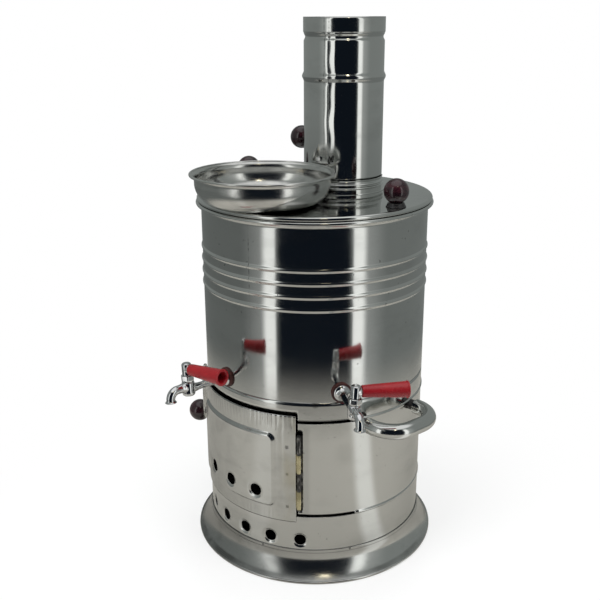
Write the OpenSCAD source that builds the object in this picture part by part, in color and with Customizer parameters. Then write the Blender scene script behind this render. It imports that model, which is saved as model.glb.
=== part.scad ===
// A wood-fired samovar: a firebox with a hinged door under a water tank with two taps,
// a flue through the tank, a loose lid with its chimney, and a dish that stands on the lid.
// Millimetres, +Z up. The origin is on the barrel's axis at the floor, and the door faces -Y.
// An angle a points from the axis to (sin a, -cos a), so 0 is the door's middle.

/* [Barrel] */
// Outer radius of the firebox and the tank
barrel_r = 120; // [112:1:135]
// Thickness of the barrel's steel sheet
sheet = 0.8; // [0.6:0.1:1]
// Height of the firebox shell
firebox_h = 175; // [150:1:200]
// Height of the tank from the barrel's seam to the top of its rim
tank_h = 184.4; // [165:0.2:240]
// Radius of the roll round the tank's rim
rim_roll = 2; // [2:0.1:3]
// Number of stiffening beads round the tank
bead_count = 4; // [1:1:6]
// Distance from one bead to the next
bead_pitch = 13.2; // [9:0.1:16]
// How far a bead stands out
bead_rise = 1.1; // [0.6:0.1:1.6]
// Distance from the tank's rim down to its highest bead
bead_drop = 48; // [30:0.5:70]

/* [Foot] */
// How far the foot's rolled edge stands out past the barrel
foot_flare = 16; // [12:1:35]
// Height of the ledge that the firebox stands on
foot_h = 27; // [20:1:40]
// Radius of the roll round the foot
foot_roll = 1.6; // [1.2:0.1:2.4]
// Radius of an air hole low in the firebox
air_hole_r = 6.4; // [4:0.1:7]
// Number of air holes low in the firebox
air_hole_count = 6; // [1:1:8]
// Angle from one low air hole to the next
air_hole_step = 15.8; // [14:0.1:20]
// Height of the low air holes above the ledge
air_hole_rise = 16; // [14:0.5:17]
// Height of the grate's top above the ledge
grate_rise = 38; // [30:1:40]
// Thickness of the grate
grate_t = 3; // [2:0.5:5]

/* [Door] */
// Angle from the door's middle to each upright edge of its opening
door_half_a = 41.6; // [40:0.1:44]
// Height of sheet left between the door's opening and the tank
head_h = 12; // [10:0.5:20]
// Gap over the leaf, left open above the closed door
door_gap = 3; // [2:0.5:7]
// How far the leaf stands out from the barrel
door_lift = 1.6; // [1.4:0.1:2.5]
// How far the pressed panel stands out from the leaf
panel_rise = 2; // [1:0.1:3]
// Half the width of the pressed panel, as an angle
panel_half_a = 30; // [24:0.5:31]
// Height of the pressed panel
panel_h = 86; // [60:1:90]
// Radius of the panel's corners
panel_corner = 9; // [4:0.5:14]
// Radius of an air hole in the door
door_hole_r = 6.7; // [4:0.1:8]
// Angle from one hole in the door to the next
door_hole_step = 16.8; // [16:0.1:20]
// Radius of the hinge's pin
pin_r = 1.2; // [1:0.1:1.4]
// Wall of a hinge knuckle round its pin
knuckle_wall = 1; // [0.8:0.1:1.3]
// Length of one hinge knuckle
knuckle_h = 21; // [15:0.5:23]
// Number of hinge knuckles
knuckle_count = 4; // [3:1:4]
// Height of the draught slits beside the hinge
slit_h = 3.6; // [2:0.2:4]

/* [Latch] */
// Angle of the turning latch round the barrel
latch_a = -50; // [-60:1:-49]
// Distance from the latch's pivot to its knob
latch_reach = 49.5; // [40:0.5:60]
// Width of the latch's arm
latch_w = 18; // [14:0.5:18]
// Thickness of the latch's arm
latch_t = 1.6; // [1.2:0.1:2.5]
// Space between the barrel and the latch's arm
latch_off = 8; // [4:0.1:10]

/* [Knobs] */
// Radius of every ball knob
ball_r = 12.5; // [10:0.5:14]
// Height of a collar under a knob on the lid
ferrule_h = 4.5; // [4:0.5:12]
// Radius of the foot of that collar
ferrule_r = 10; // [7:0.5:11]
// Radius of a knob's screw
screw_r = 2; // [1.5:0.25:2.5]

/* [Taps] */
// Angle of the second tap round the barrel, the first being over the door
tap_a = 62; // [50:1:72]
// Height of the taps above the barrel's seam
tap_rise = 10.5; // [10.5:0.5:30]
// Radius of the sealing ring against the tank
gasket_r = 10.5; // [9:0.5:12]
// Distance from the barrel to the axis of the tap's plug
plug_out = 47.5; // [36:0.5:60]
// Radius of the tap's upright body
tap_body_r = 6.5; // [6:0.25:8]
// Radius of the turning plug
plug_r = 3.5; // [3:0.25:4]
// Radius of the water's way through the tap
bore_r = 2.4; // [1.5:0.1:2.6]
// Length of the red sleeve on a lever
sleeve_l = 46; // [35:1:60]
// Radius of the sleeve's free end
sleeve_r = 8.5; // [7:0.25:10]
// Turn of the front tap's closed lever towards the barrel
front_lever_a = 9; // [0:1:20]
// Lean of the front tap, screwed in a little askew
front_lean = -5; // [-8:1:8]
// Lean of the side tap
side_lean = 3; // [-8:1:8]

/* [Handles] */
// Radius of the handle's tube
handle_r = 8; // [6:0.5:9]
// Wall of the handle's tube
handle_wall = 1.2; // [0.8:0.1:2]
// Half the distance between the axes of a handle's legs
handle_half = 35; // [30:1:42]
// Distance from the barrel to the axis of the handle's grip
handle_out = 36.5; // [32:0.5:50]
// Radius of the bend in a handle's corners
handle_bend = 27.5; // [18:0.5:28]
// Height of the handles below the barrel's seam
handle_drop = 26.5; // [22:0.5:32]

/* [Lid, flue and chimney] */
// How far the lid's rolled edge stands out past the barrel
lid_over = 4.3; // [3.5:0.1:8]
// Thickness of the lid's sheet
lid_t = 0.8; // [0.6:0.1:1.2]
// Distance from the barrel's axis back to the chimney's axis
pipe_back = 40.7; // [38:0.1:46]
// Outer radius of the chimney pipe
pipe_r = 42; // [36:0.5:44]
// Thickness of the pipe's sheet
pipe_t = 0.7; // [0.5:0.1:1]
// Height of the chimney above the lid
pipe_h = 176.8; // [160:0.1:320]
// Height of the collar on the lid
collar_h = 14; // [10:0.5:20]

/* [Dish] */
// Radius of the dish over its rolled rim
dish_r = 74; // [60:0.1:80]
// Height of the dish
dish_h = 31.4; // [26:0.2:40]
// Thickness of the dish's sheet
dish_t = 0.8; // [0.6:0.1:1.2]

/* [Hidden] */
$fn = 96;
loose = 0.3;    // space between bodies that only rest on each other
seat = 0.1;     // space between two fixed sheets, one inside the other
skin = 0.05;    // space under a small piece that follows a curved wall
running = 0.05; // radial clearance of a part that turns
snug = 0.02;    // radial clearance of a fixed shaft in its hole
fine = 360;     // steps round a large cylinder that trims a small piece

barrel_in = barrel_r - sheet;
foot_r = barrel_r + foot_flare;
ledge_w = 6;                     // how far the foot's ledge reaches in under the firebox
air_hole_a = 2.3;                // angle of the middle of the row of low air holes
seam_z = foot_h + firebox_h;
floor_z = seam_z - 8;            // the tank's floor lies down inside the firebox shell
rim_z = seam_z + tank_h;
grate_z = foot_h + grate_rise;

lap = 5.7;                       // how far the leaf reaches down past its opening
open_low = grate_z + 6;          // the firebox's door opening, from its sill up
open_top = seam_z - head_h;
door_z = open_low - lap;         // foot of the door's leaf
door_h = open_top - door_gap - door_z;
door_r = barrel_r + door_lift;   // outer radius of the leaf
panel_z = door_z + 0.41 * (door_h - panel_h);
panel_r = door_r + panel_rise;
door_hole_rise = 16;             // of the door's three holes, from the foot of the panel
door_hole_a = 2;                 // angle of the middle one
door_hole_z = panel_z + door_hole_rise;
hinge_a = door_half_a;
knuckle_r = pin_r + knuckle_wall;
hinge_r = door_r;
hinge_z = panel_z + 1.2;
hinge_top = hinge_z + knuckle_count * knuckle_h;
tang = 180 / PI / barrel_r;      // angle of one millimetre along the barrel
hinge_side = (knuckle_r + 0.9) * tang;
edge_a = hinge_a + hinge_side * 1.15; // the opening's edge beside the hinge
slit_a = 26.5;                    // how far the slits run on past that edge
slit_low_z = open_low + slit_h / 2;
slit_top_z = open_top - 10;

latch_z = open_top - 13;         // height of the latch's pivot
latch_u = barrel_r + latch_off;  // inner face of the latch's arm
knob_z = latch_z - latch_reach;
pivot_r = 2.5;

tap_z = seam_z + tap_rise;
plug_u = barrel_r + plug_out;
gasket_t = 2;
shank_r = 5;                     // the tap's threaded tail through the tank's wall
inner_nut_h = 4.5;
flange_r = 8.25;
neck_r = 3.6;
spout_r = 4.4;
spout_bore = 3;
spout_bend = 8.5;
spout_rise = 2.5;                // the spout leaves the body this far above the neck
gland_z = tap_z + 8;
gland_h = 7;
gland_r = tap_body_r + 0.5;
hub_z = gland_z + gland_h + loose;
hub_r = 4.9;
hub_h = 11.5;
stub_r = 3;                      // the lever's rod, which the red sleeve is pushed on
stub_l = 24;
sleeve_u = 5.8;                  // where the sleeve starts, from the plug's axis
lever_z = hub_z + 6.2;

handle_z = seam_z - handle_drop;
grip_u = barrel_r + handle_out;
leg_u = barrel_r + 4;            // where a handle's leg ends on its black collar
bolt_r = 3;
bushing_r = handle_r - 2.5;

lid_r = barrel_r + lid_over;
lid_roll = 2.4;
rim_u = barrel_r + 3.4;          // centre of the rim's roll
rim_c = rim_z - rim_roll;
lid_u = lid_r - lid_roll;
touch = rim_roll + lid_roll + loose;
lid_c = rim_c + sqrt(touch * touch - (rim_u - lid_u) * (rim_u - lid_u));
lid_top = lid_c + lid_roll;
spigot_r = pipe_r - 1;
collar_in = spigot_r + 0.4;
flue_r = spigot_r - 3;
flue_top = lid_top + 10;
lid_hole = flue_r + 1.2;
knob_u = barrel_r - 14;
lid_turn = 5.5;                  // the lid lies turned by this much
knob_shift = 4;                  // and both its knobs stand off to the right
pipe_neck = collar_h + 0.5;      // height of the pipe's narrow foot
socket_h = 14.5;                 // height of the straight socket at the pipe's top
socket_rise = 0.5;
pipe_knob_a = -79;
pipe_knob_z = lid_top + 50.4;
pipe_ferrule_h = 3.5;
pipe_seam_a = 19;                // the pipe's lock seam, from this angle on
pipe_seam_w = 7;                 // and how many degrees it covers
hook_a = 11.2;                   // the hook's rivet
ring_a = 30;                     // the hook's ring
hook_z = lid_top + 36.4;
rivet_r = 1.4;
dish_z = lid_top + loose;
dish_gap = 2.4;                  // between the dish's rim and the chimney
dish_x = 9.7;                    // the dish stands a little to the right
dish_reach = pipe_r + dish_gap + dish_r;
dish_y = pipe_back - sqrt(dish_reach * dish_reach - dish_x * dish_x);

STEEL = "silver";
DARK = [0.2, 0.06, 0.07];
BLACK = [0.08, 0.08, 0.08];
RED = [0.78, 0.08, 0.1];
CHROME = [0.85, 0.86, 0.88];
BRASS = [0.72, 0.6, 0.32];

// Points on an arc round c, from angle a0 to a1
function arc(c, r, a0, a1, n = 8) =
    [for (i = [0:n]) c + r * [cos(a0 + (a1 - a0) * i / n), sin(a0 + (a1 - a0) * i / n)]];

// Points on a smooth curve from p to s, drawn towards q and r on the way
function curve(p, q, r, s, n = 12) =
    [for (i = [0:n]) let (t = i / n, w = 1 - t)
        w * w * w * p + 3 * w * w * t * q + 3 * w * t * t * r + t * t * t * s];

// A smooth ridge of height h and half width w on an upright wall at radius r
function ridge(r, z, h, w, n = 8) =
    [for (i = [0:n]) [r + h * (1 - cos(360 * i / n)) / 2, z - w + 2 * w * i / n]];

// The square-on direction at point i of a path, to the left of the way it runs
function side(p, i) =
    let (d = p[min(i + 1, len(p) - 1)] - p[max(i - 1, 0)]) [-d[1], d[0]] / norm(d);

// A path in (radius, height) thickened to its left by t
function strip(p, t) = concat(p, [for (i = [len(p) - 1:-1:0]) p[i] + t * side(p, i)]);

// Turns what faces -Y to the angle a
module at(a) { rotate([0, 0, a]) children(); }

// Lays a shape drawn in (x, height) and extruded upward so that it points outward along -Y
module outward() { rotate([90, 0, 0]) children(); }

// A round bar along -Y from u0 to u1 at height z and sideways place x
module bar(r, u0, u1, z = 0, x = 0) {
    translate([x, -u0, z]) rotate([90, 0, 0]) cylinder(r = r, h = u1 - u0);
}

// A ring of wall r0 to r1 between two heights
module ring(r0, r1, z0, z1) {
    translate([0, 0, z0]) difference() {
        cylinder(r = r1, h = z1 - z0);
        translate([0, 0, -1]) cylinder(r = r0, h = z1 - z0 + 2);
    }
}

// A piece of such a ring between the angles a0 and a1
module sector(r0, r1, z0, z1, a0, a1) {
    rotate_extrude(angle = a1 - a0, start = a0 - 90)
        translate([r0, z0]) square([r1 - r0, z1 - z0]);
}

// A rectangle with round corners, centred
module round_rect(w, h, r) {
    square([w - 2 * r, h], center = true);
    square([w, h - 2 * r], center = true);
    for (x = [-1, 1], y = [-1, 1])
        translate([x * (w / 2 - r), y * (h / 2 - r)]) circle(r);
}

module foot() {
    collar_u = barrel_r + seat + sheet;
    low = [foot_r - foot_roll, foot_roll * 1.6];
    up = [collar_u, foot_h - 2];
    wall = concat(curve(low, low + [-4, 3.5], up + [0.8, -10], up), [[collar_u, foot_h + 5]]);
    color(STEEL) rotate_extrude() {
        polygon(strip(wall, sheet));
        translate([barrel_r - ledge_w, foot_h - sheet]) square([ledge_w + seat + sheet / 2, sheet]);
        intersection() {
            translate([foot_r - foot_roll, foot_roll * 0.9]) circle(foot_roll, $fn = 32);
            square([foot_r + 1, 2 * foot_roll]);
        }
    }
}

module base_plate() {
    color(STEEL) translate([0, 0, foot_h]) cylinder(r = barrel_in - seat, h = sheet);
}

// The firebox's outer face, with a rolled ridge under and over the door
firebox_wall = concat([[barrel_r, foot_h]], ridge(barrel_r, slit_low_z, 1, 2.4),
    ridge(barrel_r, slit_top_z, 1, 2.4), [[barrel_r, seam_z]]);

// What that face encloses, grown outward by the space under a small piece
module inside_firebox() {
    rotate_extrude($fn = fine)
        polygon(concat([[0, foot_h]], [for (p = firebox_wall) p + [skin, 0]], [[0, seam_z]]));
}

module firebox_shell() {
    color(STEEL) difference() {
        rotate_extrude() polygon(strip(firebox_wall, sheet));
        sector(barrel_r - 5, barrel_r + 5, open_low, open_top, -door_half_a, hinge_a + 0.6);
        sector(barrel_r - 5, barrel_r + 5, hinge_z - 3, hinge_top + 4, hinge_a, edge_a);
        for (z = [slit_low_z, slit_top_z])
            sector(barrel_r - 5, barrel_r + 5, z - slit_h / 2, z + slit_h / 2,
                hinge_a, edge_a + slit_a);
        for (i = [0:air_hole_count - 1])
            at(air_hole_a + (i - (air_hole_count - 1) / 2) * air_hole_step)
                bar(air_hole_r, barrel_r - 20, barrel_r + 20, foot_h + air_hole_rise);
        for (s = [90, -90], x = [-handle_half, handle_half])
            at(s) bar(bolt_r + snug, barrel_r - 30, barrel_r + 5, handle_z, x);
        at(latch_a) bar(pivot_r + snug, barrel_r - 10, barrel_r + 5, latch_z);
    }
}

// A strip inside the opening's free edge that the closed leaf lies against
module door_stop() {
    z0 = door_z + 6;
    z1 = door_z + door_h - 6;
    r1 = barrel_in - seat;
    lip_a = 3;
    color(STEEL) {
        sector(r1 - 1.2, r1, z0, z1, -door_half_a - 2 * lip_a, -door_half_a + lip_a);
        sector(r1 - 1.2, door_r - sheet - loose, z0, z1, -door_half_a + 0.2, -door_half_a + lip_a);
    }
}

// The knuckles of one hinge leaf, from the first of them up, every second one
module knuckles(first, bore) {
    for (i = [first:2:knuckle_count - 1])
        at(hinge_a) translate([0, -hinge_r, hinge_z + i * knuckle_h + loose / 2]) difference() {
            cylinder(r = knuckle_r, h = knuckle_h - loose, $fn = 48);
            translate([0, 0, -1]) cylinder(r = bore, h = knuckle_h + 2, $fn = 48);
        }
}

// The tabs that join a leaf's plate to its own knuckles, between two angles
module knuckle_tabs(first, r0, r1, a0, a1) {
    for (i = [first:2:knuckle_count - 1])
        sector(r0, r1, hinge_z + i * knuckle_h + loose / 2,
            hinge_z + (i + 1) * knuckle_h - loose / 2, a0, a1);
}

module hinge_leaf_fixed() {
    r1 = barrel_in - seat;
    web_a = hinge_a + (pin_r + 0.4) * tang;
    color(STEEL) {
        difference() {
            union() {
                knuckles(1, pin_r + snug);
                knuckle_tabs(1, r1 - sheet, hinge_r, web_a, web_a + 0.8 * tang);
            }
            at(hinge_a) translate([0, -hinge_r, 0])
                cylinder(r = pin_r + snug, h = seam_z, $fn = 48);
        }
        sector(r1 - sheet, r1, hinge_z, hinge_top,
            web_a, hinge_a + 16 * tang);
    }
}

module hinge_leaf_door() {
    r1 = door_r - sheet - seat;
    thinned = 0.1;
    color(BRASS) {
        difference() {
            union() {
                knuckles(0, pin_r + running);
                knuckle_tabs(0, r1 - sheet + thinned, r1 - thinned,
                    hinge_a - hinge_side - 0.5, hinge_a - 1.1 * pin_r * tang);
            }
            at(hinge_a) translate([0, -hinge_r, 0])
                cylinder(r = pin_r + running, h = seam_z, $fn = 48);
        }
        sector(r1 - sheet, r1, hinge_z, hinge_top,
            hinge_a - 18 * tang, hinge_a - hinge_side);
    }
}

module hinge_pin() {
    color("dimgray") at(hinge_a) translate([0, -hinge_r, 0]) {
        translate([0, 0, hinge_z - 1.5]) cylinder(r = pin_r, h = hinge_top - hinge_z + 2, $fn = 48);
        translate([0, 0, hinge_top + 0.1]) cylinder(r1 = knuckle_r, r2 = knuckle_r * 0.7, h = 1.8, $fn = 48);
        translate([0, 0, hinge_z - 1.5]) cylinder(r = pin_r + 0.5, h = 1.2, $fn = 48);
    }
}

module door() {
    a0 = -door_half_a + 0.6;
    a1 = hinge_a - hinge_side;
    w = 2 * panel_r * sin(panel_half_a);
    zc = panel_z + panel_h / 2;
    color(STEEL) difference() {
        union() {
            sector(door_r - sheet, door_r, door_z, door_z + door_h, a0, a1);
            intersection() {
                ring(door_r - sheet, panel_r, panel_z, panel_z + panel_h);
                translate([0, 0, zc]) outward() linear_extrude(panel_r + 5)
                    round_rect(w, panel_h, panel_corner);
            }
        }
        intersection() {
            ring(door_r - 5, panel_r - sheet, panel_z - 1, panel_z + panel_h + 1);
            translate([0, 0, zc]) outward() linear_extrude(panel_r + 5)
                round_rect(w - 2 * sheet, panel_h - 2 * sheet, panel_corner - sheet);
        }
        for (i = [-1:1])
            at(door_hole_a + i * door_hole_step) bar(door_hole_r, door_r - 9, panel_r + 9, door_hole_z);
    }
}

module latch_arm() {
    color(STEEL) at(latch_a) difference() {
        translate([0, -latch_u, 0]) outward() linear_extrude(latch_t) {
            translate([-latch_w / 2, knob_z]) square([latch_w, latch_reach]);
            translate([0, knob_z]) circle(latch_w / 2);
            translate([0, latch_z]) circle(latch_w / 2);
        }
        bar(pivot_r + running, latch_u - 5, latch_u + 5, latch_z);
        bar(screw_r + snug, latch_u - 5, latch_u + 5, knob_z);
    }
}

// A ball knob that sits on a flat at u along -Y and rises ball_r * share to its centre
module ball(u, z, share = 0.9) {
    difference() {
        translate([0, -u - ball_r * share, z]) sphere(r = ball_r);
        translate([-ball_r, -u, z - ball_r]) cube([2 * ball_r, 2 * ball_r, 2 * ball_r]);
        bar(screw_r + snug, u - 1, u + ball_r, z);
    }
}

module latch_knob() {
    color(DARK) at(latch_a) ball(latch_u + latch_t, knob_z, 0.55);
}

// A knob's screw along -Y, its head below u and its shank ending in the ball
module knob_screw(u, z, l) {
    bar(screw_r, u - 0.5, u + l, z);
    bar(screw_r * 1.8, u - 2, u, z);
}

module latch_screw() {
    color(CHROME) at(latch_a) knob_screw(latch_u, knob_z, latch_t + ball_r * 0.9);
}

module latch_pivot() {
    face_u = latch_u + latch_t;
    color(CHROME) at(latch_a) {
        bar(pivot_r, barrel_in - 2, face_u + 1, latch_z);
        bar(2 * pivot_r, face_u + loose, face_u + 2.2, latch_z);
        bar(1.8 * pivot_r, barrel_in - 2.6, barrel_in - 2 * seat, latch_z);
    }
}

module latch_spacer() {
    color(STEEL) at(latch_a) difference() {
        bar(pivot_r + 3.5, barrel_r - 3, latch_u - loose, latch_z);
        inside_firebox();
        bar(pivot_r + snug, barrel_r - 4, latch_u + 1, latch_z);
    }
}

module grate_ring() {
    r = barrel_in - seat;
    width = 10;
    top = grate_z - grate_t;
    color("gray") {
        ring(r - sheet, r, top - sheet, grate_z);
        ring(r - width, r, top - sheet, top);
    }
}

module grate() {
    slot = 8;
    step = 16;
    r = barrel_in - 3;
    border = 12;
    n = floor((r - border) / step);
    color([0.25, 0.25, 0.26]) translate([0, 0, grate_z - grate_t]) difference() {
        cylinder(r = r, h = grate_t);
        intersection() {
            translate([0, 0, -1]) cylinder(r = r - border, h = grate_t + 2);
            for (i = [-n:n])
                translate([i * step - slot / 2, -r, -1]) cube([slot, 2 * r, grate_t + 2]);
        }
    }
}

module tank_floor() {
    r = barrel_in - seat;
    color(STEEL) difference() {
        union() {
            translate([0, 0, floor_z]) cylinder(r = r, h = sheet);
            ring(r - sheet, r, floor_z - 3.5, floor_z);
        }
        translate([0, pipe_back, floor_z - 1]) cylinder(r = flue_r + 3, h = sheet + 2);
    }
}

module tank_shell() {
    low = rim_z - bead_drop - (bead_count - 1) * bead_pitch;
    beads = [for (i = [0:bead_count - 1]) each ridge(barrel_r, low + i * bead_pitch, bead_rise, 2.6)];
    wall = concat([[barrel_r, seam_z + seat]], beads,
        [[barrel_r, rim_z - 6.4], [barrel_r + 1.6, rim_z - 4.2], [rim_u - 0.4, rim_c]]);
    color(STEEL) difference() {
        rotate_extrude() {
            polygon(strip(wall, sheet));
            translate([rim_u, rim_c]) circle(rim_roll, $fn = 40);
        }
        for (a = [0, tap_a]) at(a) bar(shank_r + snug, barrel_r - 10, barrel_r + 10, tap_z);
    }
}

// The ring under the tank's floor that closes its hole and carries the flue
module flue_flange() {
    color(STEEL) translate([0, pipe_back, 0]) ring(flue_r - sheet, flue_r + 7, floor_z - sheet, floor_z);
}

module flue_tube() {
    color(STEEL) translate([0, pipe_back, 0]) ring(flue_r - sheet, flue_r, floor_z, flue_top);
}

// One handle facing -Y: two legs, two bends and a grip, with plugged ends tapped for a bolt
module handle() {
    bend_u = grip_u - handle_bend;
    bend_x = handle_half - handle_bend;
    plug_l = 7;
    module tube(r) {
        for (s = [-1, 1]) bar(r, leg_u, bend_u, 0, s * handle_half);
        if (bend_x > 0)
            translate([-bend_x, -grip_u, 0]) rotate([0, 90, 0]) cylinder(r = r, h = 2 * bend_x);
        translate([bend_x, -bend_u, 0]) rotate_extrude(angle = 90, start = -90)
            translate([handle_bend, 0]) circle(r, $fn = 64);
        translate([-bend_x, -bend_u, 0]) rotate_extrude(angle = 90, start = 180)
            translate([handle_bend, 0]) circle(r, $fn = 64);
    }
    translate([0, 0, handle_z]) {
        difference() {
            tube(handle_r);
            tube(handle_r - handle_wall);
        }
        for (s = [-1, 1]) difference() {
            bar(handle_r - handle_wall, leg_u, leg_u + plug_l, 0, s * handle_half);
            bar(bolt_r + snug, leg_u - 1, leg_u + plug_l + 1, 0, s * handle_half);
        }
    }
}

module handle_right() { color(CHROME) at(90) handle(); }

module handle_left() { color(CHROME) at(-90) handle(); }

module at_bolts() {
    for (s = [90, -90], x = [-handle_half, handle_half]) at(s) translate([x, 0, 0]) children();
}

module handle_collars() {
    color(BLACK) difference() {
        at_bolts() bar(bushing_r, barrel_r - 14, leg_u, handle_z);
        inside_firebox();
        at_bolts() bar(bolt_r + snug, barrel_r - 20, leg_u + 1, handle_z);
    }
}

module handle_washers() {
    color(STEEL) difference() {
        intersection() {
            at_bolts() bar(bushing_r + 1, barrel_r - 14, barrel_r, handle_z);
            cylinder(r = barrel_in - skin, h = rim_z, $fn = fine);
        }
        at_bolts() bar(bolt_r + snug, barrel_r - 20, barrel_r + 1, handle_z);
    }
}

module handle_bolts() {
    color(CHROME) at_bolts() {
        bar(bolt_r, barrel_r - 15, leg_u + 6, handle_z);
        translate([0, 14 - barrel_r, handle_z]) rotate([-90, 0, 0])
            cylinder(r = bolt_r * 1.93, h = 4, $fn = 6);
    }
}

// One tap facing -Y, its pieces drawn about the plug's upright axis at plug_u

// Leans what is drawn upright by t degrees about the tap's own shank
module leaning(t) { translate([0, 0, tap_z]) rotate([0, t, 0]) translate([0, 0, -tap_z]) children(); }

module gasket() {
    color([0.35, 0.1, 0.08]) difference() {
        bar(gasket_r, barrel_r - 3, barrel_r + gasket_t, tap_z);
        cylinder(r = barrel_r + skin, h = rim_z, $fn = fine);
        bar(shank_r + snug, barrel_r - 4, barrel_r + 4, tap_z);
    }
}

module tap_body() {
    flange_u = barrel_r + gasket_t;
    low = tap_z - 6.5;
    spout_z = tap_z + spout_rise;
    bend_u = plug_u + 13;
    lip_h = 2.5;
    color(CHROME) difference() {
        union() {
            bar(shank_r, barrel_r - 13, flange_u + 1, tap_z);
            translate([0, -flange_u, tap_z]) rotate([90, 0, 0]) {
                cylinder(r = flange_r, h = 1.4);
                translate([0, 0, 1.4]) cylinder(r1 = flange_r, r2 = neck_r + 0.6, h = 3.2);
            }
            bar(neck_r, flange_u, plug_u, tap_z);
            translate([0, -plug_u, low + 1]) cylinder(r = tap_body_r, h = gland_z - low - 1);
            translate([0, -plug_u, low]) cylinder(r1 = tap_body_r - 1.2, r2 = tap_body_r, h = 1);
            bar(spout_r, plug_u, bend_u, spout_z);
            translate([0, -bend_u, spout_z - spout_bend]) rotate([90, 0, -90])
                rotate_extrude(angle = 90, start = 0)
                    translate([spout_bend, 0]) circle(spout_r, $fn = 48);
            translate([0, -bend_u - spout_bend, spout_z - spout_bend - lip_h])
                cylinder(r1 = spout_r + 1.5, r2 = spout_r, h = lip_h);
        }
        translate([0, -plug_u, low + 1.5]) cylinder(r = plug_r + running, h = gland_z - low);
        bar(bore_r, barrel_r - 14, plug_u, tap_z);
        bar(spout_bore, plug_u, bend_u, spout_z);
        translate([0, -bend_u, spout_z - spout_bend]) rotate([90, 0, -90])
            rotate_extrude(angle = 90, start = 0)
                translate([spout_bend, 0]) circle(spout_bore, $fn = 48);
        translate([0, -bend_u - spout_bend, spout_z - spout_bend - lip_h - 2])
            cylinder(r = spout_bore, h = lip_h + 2);
    }
}

// The packing nut that keeps the plug in the body
module gland() {
    cone_h = 3;
    color(CHROME) difference() {
        translate([0, -plug_u, gland_z]) {
            cylinder(r1 = gland_r - 1.5, r2 = gland_r, h = cone_h, $fn = 6);
            translate([0, 0, cone_h]) cylinder(r = gland_r, h = gland_h - cone_h, $fn = 6);
        }
        translate([0, -plug_u, gland_z - 1]) cylinder(r = plug_r + running, h = gland_h + 5);
    }
}

// The plug that turns in the body, with its hub and the lever's stub, lever closed at turn
module plug(turn) {
    low = tap_z - 4.7;
    cap_h = 1.2;
    color(CHROME) translate([0, -plug_u, 0]) difference() {
        rotate([0, 0, turn]) {
            translate([0, 0, low]) cylinder(r = plug_r, h = hub_z + loose - low);
            translate([0, 0, hub_z]) cylinder(r = hub_r, h = hub_h);
            translate([0, 0, hub_z + hub_h]) cylinder(r1 = hub_r, r2 = hub_r - 1.5, h = cap_h);
            translate([0, 0, lever_z]) rotate([0, 90, 0]) {
                cylinder(r = stub_r, h = stub_l);
                cylinder(r = stub_r + 1.6, h = sleeve_u - 0.2);
            }
        }
        translate([-10, 0, tap_z]) rotate([0, 90, 0]) cylinder(r = bore_r, h = 20);
    }
}

// The red sleeve pushed on the lever's stub, hollow at its free end
module sleeve(turn) {
    lip = 1.4;
    taper_l = sleeve_l - lip - 0.6;
    color(RED) translate([0, -plug_u, lever_z]) rotate([0, 0, turn]) rotate([0, 90, 0])
        translate([0, 0, sleeve_u]) difference() {
            union() {
                cylinder(r1 = sleeve_r * 0.69, r2 = sleeve_r - 0.6, h = taper_l);
                translate([0, 0, taper_l]) cylinder(r1 = sleeve_r - 0.6, r2 = sleeve_r, h = 0.6);
                translate([0, 0, sleeve_l - lip]) cylinder(r = sleeve_r, h = lip);
            }
            translate([0, 0, -1]) cylinder(r = stub_r + snug, h = stub_l - sleeve_u + 4);
            translate([0, 0, stub_l - sleeve_u + 3]) cylinder(r = sleeve_r * 0.62, h = sleeve_l);
        }
}

module inner_washer() {
    color(BLACK) difference() {
        intersection() {
            bar(gasket_r, barrel_in - 4, barrel_r, tap_z);
            cylinder(r = barrel_in - skin, h = rim_z, $fn = fine);
        }
        bar(shank_r + snug, barrel_in - 6, barrel_r + 2, tap_z);
    }
}

module inner_nut() {
    color(CHROME) difference() {
        translate([0, inner_nut_h + 4 - barrel_in, tap_z]) rotate([90, 0, 0])
            cylinder(r = shank_r + 4, h = inner_nut_h, $fn = 6);
        bar(shank_r + snug, barrel_in - 12, barrel_r, tap_z);
    }
}

module gasket_front() { gasket(); }
module tap_front() { leaning(front_lean) tap_body(); }
module gland_front() { leaning(front_lean) gland(); }
module inner_washer_front() { inner_washer(); }
module inner_nut_front() { inner_nut(); }
module plug_front() { leaning(front_lean) plug(front_lever_a); }
module lever_front() { leaning(front_lean) sleeve(front_lever_a); }
module gasket_side() { at(tap_a) gasket(); }
module tap_side() { at(tap_a) leaning(side_lean) tap_body(); }
module gland_side() { at(tap_a) leaning(side_lean) gland(); }
module inner_washer_side() { at(tap_a) inner_washer(); }
module inner_nut_side() { at(tap_a) inner_nut(); }
module plug_side() { at(tap_a) leaning(side_lean) plug(0); }
module lever_side() { at(tap_a) leaning(side_lean) sleeve(0); }

// Places what is drawn upright on the lid's top at the lid's two knobs
module at_lid_knobs(sides = [90, -90]) {
    for (s = sides)
        translate([knob_shift, 0, lid_top]) at(s + lid_turn) translate([0, -knob_u, 0]) children();
}

module lid() {
    skirt = barrel_in - 2.4;
    color(STEEL) difference() {
        union() {
            rotate_extrude() {
                translate([0, lid_top - lid_t]) square([lid_u, lid_t]);
                translate([lid_u, lid_c]) circle(lid_roll, $fn = 40);
            }
            ring(skirt - lid_t, skirt, lid_top - 12, lid_top - lid_t / 2);
        }
        translate([0, pipe_back, lid_top - 5]) cylinder(r = lid_hole, h = 10);
        at_lid_knobs() translate([0, 0, -5]) cylinder(r = screw_r + snug, h = 10);
    }
}

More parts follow.
